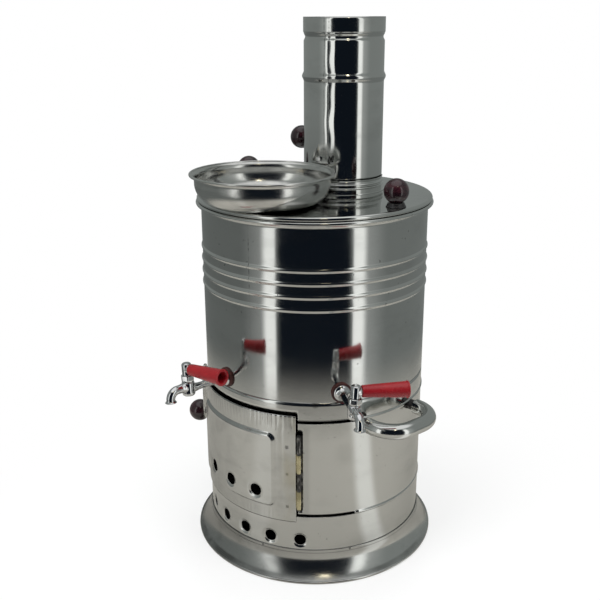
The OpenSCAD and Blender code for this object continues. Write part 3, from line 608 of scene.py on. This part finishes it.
def black_plastic(place):
    """Black plastic with pale scuffs."""
    scuff = place.noise(150, 150, 400, 3.0).rise(0.45, 0.8)
    return {
        "Base Color": scuff.mix((0.012, 0.011, 0.012), (0.035, 0.03, 0.03)),
        "Roughness": 0.28 + scuff * 0.2,
        "Normal": (place.noise(1500, 1500, 1500, 2.0) * 0.00002).bump(),
    }


knob_plastic = finish("maroon_plastic", maroon)
collar_plastic = finish("black_plastic", black_plastic)
latch_a, latch_face, latch_knob_z = -50, 129.6, 127.5
mesh(
    "latch_knob", [knob(towards(latch_a, 0, latch_face, latch_knob_z), facing(latch_a), 0.55)],
    knob_plastic, "latch", ["latch_knob"],
)

# Tank: a taller cylinder of the same sheet, welded down its side, with four rolled beads
# and a rim rolled round outward. Its floor and the flue through it are plain sheet.
bead_heights, bead_rise, bead_half = (298.8, 312.0, 325.2, 338.4), 1.15, 2.9
beads = np.concatenate([np.linspace(z - 3.0, z + 3.0, 19) for z in bead_heights])
tank_heights = np.concatenate([[seam_z + 0.1, 220, 250, 280, 294], beads, [343, 357]])
tank_rise = sum(ridge(tank_heights, z, bead_rise, bead_half) for z in bead_heights)
tank_wall = np.concatenate([
    np.stack([barrel + tank_rise, tank_heights], 1),
    bend((barrel, 378.0), (barrel, 380.6), (121.4, 381.9), (122.0, 383.2), 10),
])
tank_roll = arc((123.4, 384.4), 2.0, 200, 560, 48)


def tank_steel(place):
    """The brightest polish, with a burnt seam between the beads and streaks down the sheet."""
    height, turn = place.part("Z"), place.turn()
    seam = turn.band(17.0, 0.10, 0.18)
    burnt = seam * height.band(0.338, 0.022, 0.01) * place.noise(40, 40, 330, 2.0).rise(0.42, 0.6)
    specks = place.noise(230, 230, 230, 1.0, shift=1.0).rise(0.74, 0.79) * 0.5
    made = polished(place, burnt * 0.8 + seam * 0.08 + specks, rough=0.06, dent=0.17)
    streaks = place.noise(95, 95, 2.5, 3.0, 0.6, shift=4.0)
    made["Roughness"] = made["Roughness"] + streaks * 0.03
    return made


mesh(
    "tank_shell", [lathe(strip(tank_wall, wall), 256), lathe(tank_roll, 256)],
    finish("tank_steel", tank_steel), "samovar", ["tank_shell"],
)
coat(bright_steel, "flue_tube")

# Handles: two loops of polished tube with plugged ends, each standing on two black plastic
# collars that follow the barrel's curve. Bolts from inside hold them.


def tube(path, radius, flat, steps=40):
    """A round surface along a path that lies square to the direction flat.

    The radius is one number, or one for each point of the path.
    """
    path = np.asarray(path, float)
    way = np.gradient(path, axis=0)
    way /= np.linalg.norm(way, axis=1)[:, None]
    out = np.cross(flat, way)
    turn = np.linspace(0, 2 * np.pi, steps + 1)[None, :, None]
    radius = np.broadcast_to(np.asarray(radius, float), len(path))[:, None, None]
    return path[:, None] + radius * (np.cos(turn) * out[:, None] + np.sin(turn) * np.asarray(flat, float))


handle_z, handle_r, leg_x, leg_u, elbow_r = 175.5, 8.0, 35.0, 124.0, 27.5
corner = arc((leg_x - elbow_r, leg_u + 5), elbow_r, 0, 90, 24)
grip_u = leg_u + 5 + elbow_r
half_path = np.concatenate([[(leg_x, leg_u), (leg_x, leg_u + 2.5)], corner, [(3, grip_u), (0, grip_u)]])
handle_path = np.concatenate([half_path, half_path[-2::-1] * (-1, 1)])
screw_r = 3.0


def handle_steel(place):
    """Polished tube with fine draw lines."""
    made = polished(place, rough=0.085, dent=0.06)
    made["Roughness"] = made["Roughness"] + place.noise(60, 60, 900, 1.0) * 0.02
    return made


tube_steel = finish("handle_steel", handle_steel)
for name, a in (("handle_right", 90), ("handle_left", -90)):
    path = towards(a, handle_path[:, 0], handle_path[:, 1], handle_z)
    caps = [lathe([(screw_r, 7.0), (screw_r, 0.0), (handle_r, 0.0)], 40, first, second - first)
            for first, second in ((path[0], path[1]), (path[-1], path[-2]))]
    outer = tube(path, handle_r, (0, 0, 1))
    mesh(name, [outer, *caps], tube_steel, "samovar", [name])


def saddle(profile, a, side, height, under, top, steps=72, middle=(0.0, 0.0)):
    """A collar whose foot follows a cylinder and whose top is flat, facing the angle a.

    Each (radius, share) of the profile goes once round, and the share says how far the
    point lies from the cylinder to the top. under(z) is the cylinder's radius there.
    """
    profile = np.asarray(profile, float)
    t = np.linspace(0, 2 * np.pi, steps + 1)[None]
    r, share = profile[:, :1], profile[:, 1:]
    x, z = side + r * np.sin(t), height + r * np.cos(t)
    base = np.sqrt(under(z) ** 2 - x**2)
    return towards(a, x, base + (top - base) * share, z, middle)


collar = [(screw_r, 0.0), (5.5, 0.0), (5.5, 0.35), (5.5, 0.8), (5.4, 0.95), (5.1, 1.0),
          (screw_r, 1.0), (screw_r, 0.0)]
collars = [saddle(collar, a, side, handle_z, lambda z: barrel + 0.03 + shell_ridges(z), leg_u)
           for a in (90, -90) for side in (-leg_x, leg_x)]
mesh("handle_collars", collars, collar_plastic, "samovar", ["handle_collars"])
coat(bright_steel, "handle_washers")

# Taps: plated castings with a plug that turns. Each has a threaded tail through the tank's
# wall, a fibre sealing ring, a round flange, a hexagon packing nut and a lever in a red sleeve.


def chrome(place):
    """Bright plating with a slight orange peel and dull patches."""
    orange_peel = place.noise(700, 700, 700, 2.0)
    dull = place.noise(110, 110, 110, 3.0, 0.6).rise(0.4, 0.8)
    return {
        "Base Color": dull.mix((0.72, 0.725, 0.73), (0.52, 0.52, 0.53)),
        "Metallic": 1.0,
        "Roughness": 0.06 + dull * 0.07,
        "Normal": (orange_peel * 0.000012).bump(),
    }


def fibre(place):
    """Mottled dark red-brown fibre."""
    mottle = place.noise(350, 350, 350, 3.0).rise(0.35, 0.7)
    return {
        "Base Color": mottle.mix((0.022, 0.006, 0.005), (0.06, 0.014, 0.011)),
        "Roughness": 0.42 + mottle * 0.2,
        "Normal": (mottle * 0.00005).bump(),
    }


def red_plastic(place):
    """Moulded red with faint flow clouds and pale scuffs."""
    flow = place.noise(45, 45, 45, 2.0).rise(0.3, 0.8)
    scuff = place.noise(600, 600, 600, 3.0).rise(0.6, 0.85)
    red = flow.mix((0.20, 0.006, 0.010), (0.27, 0.009, 0.013))
    return {
        "Base Color": (scuff * 0.3).mix(red, (0.36, 0.05, 0.055)),
        "Roughness": 0.26 + flow * 0.08 + scuff * 0.15,
        "Normal": (place.noise(260, 260, 260, 2.0) * 0.00003).bump(),
    }


def black_rubber(place):
    """Dusty black rubber."""
    dust = place.noise(300, 300, 300, 3.0).rise(0.45, 0.75)
    return {
        "Base Color": dust.mix((0.02, 0.02, 0.02), (0.05, 0.05, 0.048)),
        "Roughness": 0.6 + dust * 0.2,
        "Normal": (dust * 0.00003).bump(),
    }


plated = finish("chrome", chrome)
fibre_ring = finish("brown_fibre", fibre)
lever_plastic = finish("red_plastic", red_plastic)
coat(plated, "handle_bolts", "latch_pivot", "latch_spacer", "latch_screw", "lid_screws")
coat(plated, "inner_nut_front", "inner_nut_side", "chimney_screw", "pipe_rivet")
coat(finish("black_rubber", black_rubber), "inner_washer_front", "inner_washer_side")
plug_u, tap_z, flange_u = 167.5, 212.5, 122.0
nut_z, hub_z = tap_z + 8, tap_z + 15.3
lever_z = hub_z + 6.2


def hexagon(profile, flat, centre, steps=96):
    """A turned profile cut by six flats: no point reaches past a flat's distance from the axis."""
    t = np.linspace(0, 2 * np.pi, steps + 1)[None]
    off = (t + np.pi / 6) % (np.pi / 3) - np.pi / 6
    profile = np.asarray(profile, float)
    r = np.minimum(profile[:, :1], flat / np.cos(off))
    z = np.repeat(profile[:, 1:], steps + 1, 1)
    return np.asarray(centre) + np.stack([r * np.cos(t), r * np.sin(t), z], -1)


thread = [(4.55 + 0.4 * (i % 2), 107.0 + i * 0.7) for i in range(17)]
tail = [(0.0, 106.6), (4.2, 106.6), *thread, (5.0, 119.2), (5.0, flange_u)]
flange = [(8.0, flange_u), (8.25, 122.2), (8.25, 123.1), (8.0, 123.45), (7.0, 123.9),
          (5.6, 125.0), (4.6, 126.3), (4.1, 127.4), (3.8, 129.0)]
shank = [(3.6, 132.0), (3.6, 152.0), (3.8, 156.0), (4.4, 159.6), (4.6, 161.0), (4.6, plug_u), (0.0, plug_u)]
body = [(0.0, -6.5), (4.4, -6.5), (5.3, -6.2), (6.1, -5.4), (6.5, -4.2), (6.5, -2.0), (6.35, 0.0),
        (6.5, 2.0), (6.5, 6.4), (6.3, 7.4), (5.6, 8.0), (0.0, 8.0)]
nut = [(0.0, 0.0), (5.2, 0.0), (5.9, 0.5), (6.6, 1.5), (7.1, 2.6), (7.1, 5.9), (6.6, 6.6),
       (5.7, 7.0), (0.0, 7.0)]
hub = [(0.0, -20.0), (3.4, -20.0), (3.5, -19.4), (3.5, 0.0), (4.5, 0.0), (4.9, 0.5), (4.9, 10.6),
       (4.5, 11.6), (3.4, 12.4), (1.6, 12.7), (0.0, 12.7)]
stub = [(0.0, 0.0), (4.6, 0.0), (4.6, 4.9), (4.2, 5.6), (3.0, 5.6), (3.0, 23.0), (2.4, 24.0), (0.0, 24.0)]
sleeve_side = [(5.9 + 2.0 * t, 1.6 + 42.4 * t) for t in np.linspace(0, 1, 11)]
sleeve = [(3.2, 0.0), (5.0, 0.0), (5.7, 0.5), *sleeve_side, (8.4, 44.3), (8.5, 44.9), (8.3, 45.7),
          (7.7, 46.0), (6.2, 46.0), (5.7, 45.6), (5.3, 44.6), (5.25, 22.0), (4.8, 21.2), (3.02, 21.2),
          (3.02, 0.6), (3.2, 0.0)]
spout_z, spout_bend, drop_u = tap_z + 2.5, 8.5, 189.0
spout = np.concatenate([
    [(u, spout_z) for u in (163.5, 171.5, 172.9, 174.1, 177.5)],
    arc((drop_u - spout_bend, spout_z - spout_bend), spout_bend, 90, 0, 20),
    [(drop_u, z) for z in (205.9, 205.1, 204.4, 204.0)],
])
spout_r = [5.6, 5.6, 5.4, 4.9, 4.4, *[4.4] * 21, 4.6, 5.2, 5.8, 5.75]
bore_r = [*[3.0] * (len(spout) - 16), 3.1, 3.5, 4.3, 5.4]
sealing_ring = [(5.02, 119.3), (10.2, 119.3), (10.5, 119.6), (10.5, 121.6), (10.1, flange_u),
                (5.02, flange_u), (5.02, 119.3)]
for name, a, closed, lean in (("front", 0, 9, -5), ("side", 62, 0, 3)):
    out, plug, root = facing(a), towards(a, 0, plug_u, 0), np.array((0, 0, tap_z))
    side = towards(a, 1, 0, 0)
    about = np.array(Matrix.Rotation(np.radians(lean), 3, -Vector(out)))

    def leaned(*surfaces):
        """The surfaces turned about the tap's own shank by its lean."""
        return [(points - root) @ about.T + root for points in surfaces]

    path = towards(a, 0, spout[:, 0], spout[:, 1])
    outer = tube(path, spout_r, side)
    bore = tube(path[12:], bore_r, side)[::-1]
    casting = leaned(
        lathe(tail + flange + shank, 64, root, out), lathe(body, 64, plug + (0, 0, tap_z)),
        outer, np.stack([outer[-1], bore[0]]), bore,
    )
    mesh(f"tap_{name}", casting, plated, "samovar", [f"tap_{name}"])
    mesh(
        f"gasket_{name}", [lathe(sealing_ring, 64, root, out)],
        fibre_ring, "samovar", [f"gasket_{name}"],
    )
    mesh(
        f"gland_{name}", leaned(hexagon(nut, 6.15, plug + (0, 0, nut_z))),
        plated, "samovar", [f"gland_{name}"],
    )
    key, way, eye = f"{name}_tap_key", np.array(facing(a + closed + 90)), plug + (0, 0, lever_z)
    mesh(
        f"plug_{name}", leaned(lathe(hub, 64, plug + (0, 0, hub_z)), lathe(stub, 48, eye, way)),
        plated, key, [f"plug_{name}"],
    )
    mesh(
        f"lever_{name}", leaned(lathe(sleeve, 64, eye + 5.8 * way, way)),
        lever_plastic, key, [f"lever_{name}"],
    )

# Lid: a loose disc with a rolled edge and a skirt that drops inside the tank's rim. Its hole
# sits well back for the flue, inside the beaded collar that the chimney stands in.
lid_top, pipe_back, flue_hole = 391.254, 40.7, 39.2
lid_roll, skirt_r, skirt_low = 2.4, 116.0, 379.25


def shifted(rows, steps=192):
    """Rows (radius, height, how far back its centre lies), each one ring, joined in order."""
    rows = np.asarray(rows, float)
    t = np.linspace(0, 2 * np.pi, steps + 1)[None]
    r, z, back = rows[:, :1], rows[:, 1:2], rows[:, 2:]
    return np.stack([r * np.sin(t), back - r * np.cos(t), z + 0 * t], -1)


plate = [(flue_hole + (barrel - flue_hole) * t, lid_top, pipe_back * (1 - t)) for t in np.linspace(0, 1, 9)]
edge = [(r, z, 0.0) for r, z in arc((121.9, lid_top - lid_roll), lid_roll, 90, -230, 44)]
under = [(r, z - wall, back) for r, z, back in plate[::-1]]
skirt = flat_ring(skirt_r, skirt_r + wall, 390.8, 390.8 - skirt_low)


def lid_steel(place):
    """Near-mirror polish with a crossed pair of scratches before the chimney."""
    moved = {"Vector": place, "Location": (-0.032, 0.044, 0.0), "Rotation": (0.0, 0.0, 0.6)}
    cross = place.node("ShaderNodeMapping", {}, moved)
    x, y = cross.part("X"), cross.part("Y")
    scratch = (x.band(0, 0.0001, 0.0003) * y.band(0, 0.012, 0.008)
               + y.band(0, 0.0001, 0.0003) * x.band(0, 0.009, 0.006))
    turned = place.noise(26, 26, 26, 4.0, 0.65).rise(0.5, 0.8)
    made = polished(place, scratch * 0.15 + turned * 0.15, rough=0.045, dent=0.05)
    made["Roughness"] = made["Roughness"] + scratch * 0.3
    return made


lid_sheet = finish("lid_steel", lid_steel)
mesh(
    "lid", [shifted([*plate, *edge, *under, plate[0]]), lathe(skirt, 192)],
    lid_sheet, "lid", ["lid"],
)
collar_r, ring_rise, ring_half = 42.2, 1.9, 1.8
collar_z = np.linspace(1.2, 11.8, 54)
collar_rings = sum(ridge(collar_z, z, ring_rise, ring_half) for z in (6.2, 9.9))
collar_wall = np.concatenate([
    [(collar_r, 0.0)],
    np.stack([collar_r + collar_rings, collar_z], 1),
    [(collar_r, 12.4), (42.5, 13.2), (42.9, 14.0)],
])
collar_foot = [(41.8, 0.0), (45.6, 0.0), (45.8, 0.3), (45.7, wall), (41.8, wall), (41.8, 0.0)]
collar_at = (0, pipe_back, lid_top)
mesh(
    "lid_collar",
    [lathe(strip(collar_wall, wall), 160, collar_at), lathe(collar_foot, 160, collar_at)],
    lid_sheet, "lid", ["lid_collar"],
)

# Lid knobs: two of the ball knobs, moulded plastic, one at each side of the lid. Each is
# screwed down from under the lid on a black tapered ferrule.
ferrule_top, screw_hole = 4.5, 2.05
ferrule = [(screw_hole, 0.0), (9.7, 0.0), (10.0, 0.35), (9.9, 0.9), (9.3, 1.6), (8.8, 2.8), (8.4, 3.8),
           (8.2, 4.2), (7.9, ferrule_top), (screw_hole, ferrule_top), (screw_hole, 0.0)]
ferrules = []
for name, a in (("lid_knob_right", 95.5), ("lid_knob_left", -84.5)):
    at = towards(a, 0, 106.0, lid_top) + (4.0, 0.0, 0.0)
    ferrules.append(lathe(ferrule, 64, at))
    ball_knob = knob(at, (0, 0, 1), 0.88, ferrule_top)
    mesh(name, [ball_knob], knob_plastic, "lid", [name])
mesh("lid_ferrules", ferrules, collar_plastic, "lid", ["lid_ferrules"])

# Chimney: a length of thin pipe with a folded lock seam, a bead and a groove. Its necked foot
# stands in the lid's collar, and its belled top takes the next length.
pipe, pipe_wall, pipe_top = 42.0, 0.7, lid_top + 176.8
pipe_degree = np.pi * pipe / 180
neck_z, neck_step, bell_z = lid_top + 14.5, 2.0, pipe_top - 15.4
bead_z, pipe_bead, pipe_bead_half = pipe_top - 58.7, 1.8, 5.5
groove_z, groove_deep, groove_half = pipe_top - 19.6, 1.5, 4.2
fold_start, fold_end = 19.0, 26.0
fold_low, fold_top = lid_top + 17.5, bead_z - 6.0


def on_pipe(flat, radius, relief):
    """A flat sheet rolled round the pipe's own axis."""
    points, quads = rolled(flat, radius, relief)
    return points + (0, pipe_back, 0), quads


def pipe_relief(u, v):
    """The pipe's height over its cylinder: necked foot, bead, groove, belled top and folded seam."""
    turn = u / pipe_degree
    neck = ramp(v, neck_z + neck_step, neck_z)
    bell = ramp(v, bell_z, bell_z + 0.9)
    fold = ramp(turn, fold_start, fold_start + 0.5) * ramp(turn, fold_end, fold_end - 0.5)
    fold *= ramp(v, fold_low, fold_low + 1) * ramp(v, fold_top, fold_top - 1)
    middle = 29.0 + 0.9 * np.sin(v / 11.0) + 0.6 * np.sin(v / 4.7)
    flat = ridge(turn, middle, 0.42, 8.0) * ramp(v, lid_top + 30, lid_top + 50)
    rise = 0.5 * bell * bell * (3 - 2 * bell) - neck * neck * (3 - 2 * neck)
    rolls = ridge(v, bead_z, pipe_bead, pipe_bead_half) - ridge(v, groove_z, groove_deep, groove_half)
    return rise + rolls + 0.65 * fold - flat * (1 - bell)


def pipe_steel(place):
    """Polished, with dark specks along both edges of the folded seam and a worn top edge."""
    moved = place.moved(0.0, pipe_back)
    turn = moved.turn()
    fold = turn.band(fold_start, 0.1, 0.6) + turn.band(fold_end + 0.2, 0.1, 0.7)
    specks = fold * place.noise(50, 50, 420, 2.0).rise(0.45, 0.6)
    edge = place.part("Z").rise(0.5665, 0.5678)
    ripple = moved.noise(38, 38, 10, 2.0, shift=6.0)
    made = polished(place, specks * 0.9 + fold * 0.25 + edge * 0.2, rough=0.06, dent=0.12)
    made["Roughness"] = made["Roughness"] + ripple * 0.03
    return made


pipe_u = lines(
    -180 * pipe_degree, 180 * pipe_degree, 1.8,
    [a * pipe_degree for a in (fold_start, fold_start + 0.5, fold_end - 0.5, fold_end)],
    [(fold_start * pipe_degree, 40.0 * pipe_degree, 0.6)],
)
pipe_v = lines(
    lid_top + 0.3, pipe_top, 3.0, [fold_low, fold_low + 1, fold_top, fold_top - 1],
    [(neck_z - 0.5, neck_z + 2.5, 0.4), (bead_z - 5.6, bead_z + 5.6, 0.4),
     (groove_z - groove_half, bell_z, 0.35), (bell_z, bell_z + 1.0, 0.2)],
)
mesh(
    "chimney_pipe", [on_pipe(pierced(pipe_u, pipe_v), pipe, pipe_relief)],
    finish("pipe_steel", pipe_steel),
    "chimney", ["chimney_pipe"], sheet=pipe_wall,
)

# Hook: a dark steel clip riveted beside the pipe's seam and bent to pass over it. Its free end
# holds a small wire ring.
hook_z, ring_a, ring_u, ring_r, wire_r = lid_top + 36.4, 30.0, 47.4, 3.2, 0.75
clip_u = lines(5.5 * pipe_degree, ring_a * pipe_degree, 0.6)
clip_v = lines(hook_z - 4.5, hook_z + 4.5, 3.0)


def clip_relief(u, v):
    """The clip's step up on to the folded seam."""
    return 0.85 * ramp(u / pipe_degree, fold_start - 1.4, fold_start - 0.4)


t = np.linspace(0, 2 * np.pi, 49)
ring_path = towards(ring_a, 0, ring_u + ring_r * np.cos(t), hook_z + ring_r * np.sin(t), (0, pipe_back))
mesh(
    "pipe_hook",
    [on_pipe(pierced(clip_u, clip_v), pipe + 0.95, clip_relief),
     tube(ring_path, wire_r, towards(ring_a, 1, 0, 0), 16)],
    black_steel, "chimney", ["pipe_hook"],
)

# Chimney knob: the same ball, screwed to the pipe from inside. It stands on a short black
# ferrule whose foot is cut to the pipe's curve.
knob_a, knob_z, knob_u, knob_cut = -79, lid_top + 50.4, 45.5, 0.9
pipe_ferrule = [(screw_hole, 0.0), (8.4, 0.0), (8.5, 0.25), (8.1, 0.7), (7.7, 0.94), (7.3, 1.0),
                (screw_hole, 1.0), (screw_hole, 0.0)]
ferrule_foot = pipe + 0.05
mesh(
    "chimney_ferrule",
    [saddle(pipe_ferrule, knob_a, 0, knob_z, lambda z: ferrule_foot, knob_u, 64, (0, pipe_back))],
    collar_plastic, "chimney", ["chimney_ferrule"],
)
mesh(
    "chimney_knob", [knob(towards(knob_a, 0, knob_u, knob_z, (0, pipe_back)), facing(knob_a), knob_cut)],
    knob_plastic, "chimney", ["chimney_knob"],
)

# Dish: a shallow bowl of satin steel, spun in one piece with a rolled rim and a few rings
# pressed in its floor. It stands loose on the lid before the chimney.
dish_x, dish_y, dish_z = 10.2, -76.7, lid_top + 0.3
side_r, bend_r, ripple_start, ripple_pitch, ripple_deep = 67.6, 22.0, 24.0, 5.6, 0.26
ripple_r = np.linspace(ripple_start, ripple_start + 3 * ripple_pitch, 49)
ripple = ripple_deep * (1 - np.cos(2 * np.pi * (ripple_r - ripple_start) / ripple_pitch))
dish_wall = np.concatenate([
    [(0.0, 0.0), (20.0, 0.0)],
    np.stack([ripple_r, ripple], 1),
    arc((side_r - bend_r, bend_r), bend_r, -90, 0, 40),
    bend((side_r, 24.4), (side_r, 26.8), (68.6, 28.8), (70.6, 29.6), 12),
])
dish_roll = arc((71.4, 30.2), 1.3, 180, 540, 32)


def satin(place):
    """Satin steel with fine rings left by the spinning tool, in soft smears."""
    moved, z = place.moved(dish_x, dish_y), place.part("Z")
    x, y = moved.part("X"), moved.part("Y")
    r = x.math("POWER", x * x + y * y, 0.5)
    spun = r.math("SINE", r * 5200 + z * 7000)
    smear = place.noise(35, 35, 60, 4.0, 0.6).rise(0.42, 0.75)
    return {
        "Base Color": smear.mix((0.66, 0.66, 0.64), (0.50, 0.50, 0.485)),
        "Metallic": 1.0,
        "Roughness": 0.17 + smear * 0.08,
        "Normal": (spun * 8e-7 + place.noise(40, 40, 40, 1.0) * 4e-5).bump(),
    }


dish_at = (dish_x, dish_y, dish_z)
mesh(
    "dish", [lathe(strip(dish_wall, wall), 160, dish_at), lathe(dish_roll, 160, dish_at)],
    finish("satin_steel", satin), "dish", ["dish"],
)

# Studio: a wide pale floor with two bands of painted light that only reflections see, and round it a grey
# room with a dark gap behind the camera and a tall soft light panel on either side of it, which is what the
# polished sheet shows.
scene = bpy.context.scene
view_turn, floor_half = 49.0, 4


def floor_look(tree):
    """White to the camera away from the object, a warm grey with two bands of painted light in its
    reflections, open far off.
    """
    shader = tree.nodes["Principled BSDF"]
    place = Socket(tree, tree.nodes.new("ShaderNodeTexCoord").outputs["Object"])
    path = tree.nodes.new("ShaderNodeLightPath").outputs
    camera_ray = Socket(tree, path["Is Camera Ray"])
    glossy_ray = Socket(tree, path["Is Glossy Ray"])
    away = place.node("ShaderNodeVectorMath", {"operation": "LENGTH"}, {0: place}, "Value")
    turn = place.turn() - view_turn
    # Painted light: in reflections only, the floor is paler in two bands round the samovar, standing for
    # the side panels' light falling on it.
    panel_light = turn.band(44, 4, 8) * 0.48 + turn.band(-44, 4, 10) * 0.12
    warm_grey_and_painted_light = panel_light.mix((0.40, 0.385, 0.352), (0.95, 0.95, 0.93))
    tree.links.new(glossy_ray.mix((0.86, 0.86, 0.86), warm_grey_and_painted_light).out, shader.inputs["Base Color"])
    shader.inputs["Roughness"].default_value = 0.9
    shader.inputs["Specular IOR Level"].default_value = 0.1
    white = place.node("ShaderNodeEmission", {}, {"Color": (1, 1, 1, 1), "Strength": 1.0})
    clear = place.node("ShaderNodeBsdfTransparent", {}, {})
    pale = camera_ray * (away.rise(0.15, 0.42) * 0.45 + 0.55)
    lit = place.node("ShaderNodeMixShader", {}, {0: pale, 1: Socket(tree, shader.outputs[0]), 2: white})
    fade = glossy_ray * away.rise(0.40, 0.72)
    mixed = place.node("ShaderNodeMixShader", {}, {0: fade, 1: lit, 2: clear})
    tree.links.new(mixed.out, tree.nodes["Material Output"].inputs["Surface"])


floor_mesh = bpy.data.meshes.new("floor")
corners = [(x * floor_half, y * floor_half, 0) for x, y in ((-1, -1), (1, -1), (1, 1), (-1, 1))]
floor_mesh.from_pydata(corners, [], [(0, 1, 2, 3)])
floor = bpy.data.objects.new("floor", floor_mesh)
scene.collection.objects.link(floor)
floor_material = bpy.data.materials.new("floor")
floor_material.use_nodes = True
floor_look(floor_material.node_tree)
floor_mesh.materials.append(floor_material)

world = bpy.data.worlds.new("studio")
scene.world = world
world.use_nodes = True
tree = world.node_tree
way = Socket(tree, tree.nodes.new("ShaderNodeTexCoord").outputs["Generated"])
camera_ray = Socket(tree, tree.nodes.new("ShaderNodeLightPath").outputs["Is Camera Ray"])
front = facing(view_turn)
ahead = way.part("X") * front[0] + way.part("Y") * front[1]
across = way.part("X") * -front[1] + way.part("Y") * front[0]
turn = ahead.math("ARCTAN2", across, ahead) * DEGREES
aside = turn.math("ABSOLUTE", turn)
height = way.math("ARCSINE", way.part("Z")) * DEGREES
tall = height.rise(-34, -22) * (1 - height.rise(34, 50))
gap = (1 - aside.rise(33, 41)) * (1 - height.rise(45, 58))
panel_light = aside.rise(38, 41) * (1 - aside.rise(44, 56)) * tall * 1.6
glow = aside.rise(48, 52) * (1 - aside.rise(52, 80)) * tall * 0.16
ceiling = height.rise(47, 62)
lamp_turn, lamp_height = 12.0, 50.0
lamp = turn.band(lamp_turn, 2.0, 2.5) * height.band(lamp_height, 2.0, 2.5)
above = height.rise(-14, -3)
level = 1 + above * 0.3 - (1 - across.rise(-0.5, 0.2)) * (1 - above) * 0.25
grey = gap.mix((level * 0.5).mix((0, 0, 0), (0.388, 0.418, 0.405)), (0.006, 0.009, 0.014))
add = {"data_type": "RGBA", "blend_type": "ADD"}
room = grey.node("ShaderNodeMix", add, {0: panel_light + glow, 6: grey, 7: (1.0, 1.0, 0.98, 1.0)}, 2)
room = ceiling.mix(room, (0.95, 0.96, 0.96))
room = lamp.mix(room, (5.5, 4.9, 3.5))
shown = camera_ray.mix(room, (1.0, 1.0, 1.0))
tree.links.new(shown.out, tree.nodes["Background"].inputs["Color"])

aim_z = 0.25
lamps = (
    ("key", -8, 42, 2.2, 1.4, 26),
    ("fill", 112, 34, 2.2, 1.4, 16),
    ("top", 49, 84, 2.0, 1.6, 16),
    ("back", 220, 40, 2.4, 1.6, 14),
)
for name, a, rise, far, size, power in lamps:
    data = bpy.data.lights.new(name, "AREA")
    data.shape, data.size, data.energy = "DISK", size, power
    lamp_object = bpy.data.objects.new(name, data)
    scene.collection.objects.link(lamp_object)
    out, up = np.cos(np.radians(rise)), np.sin(np.radians(rise))
    direction = Vector(facing(a)) * out + Vector((0, 0, up))
    lamp_object.location = Vector((0, 0, aim_z)) + far * direction
    lamp_object.rotation_euler = direction.to_track_quat("Z", "Y").to_euler()
    lamp_object.visible_glossy = False

# Camera: its place, aim, roll and focal length are solved from the barrel's rings in the
# photograph. The focal length is in pixels of a frame 600 pixels wide.
eye, roll = (0.6795, -0.5906, 0.5650), np.radians(-0.277)
focal, frame_width, sensor = 857.5, 600, 36.0
camera = bpy.data.objects.new("camera", bpy.data.cameras.new("camera"))
scene.collection.objects.link(camera)
camera.data.sensor_width, camera.data.lens = sensor, focal / frame_width * sensor
forward = Vector((-0.7283, 0.6109, -0.3106)).normalized()
right = forward.cross(Vector((0, 0, 1))).normalized()
up = right.cross(forward)
right, up = right * np.cos(roll) + up * np.sin(roll), up * np.cos(roll) - right * np.sin(roll)
aimed = Matrix((right, up, -forward)).transposed().to_4x4()
camera.matrix_world = Matrix.Translation(eye) @ aimed
scene.camera = camera
scene.view_settings.view_transform = "Standard"
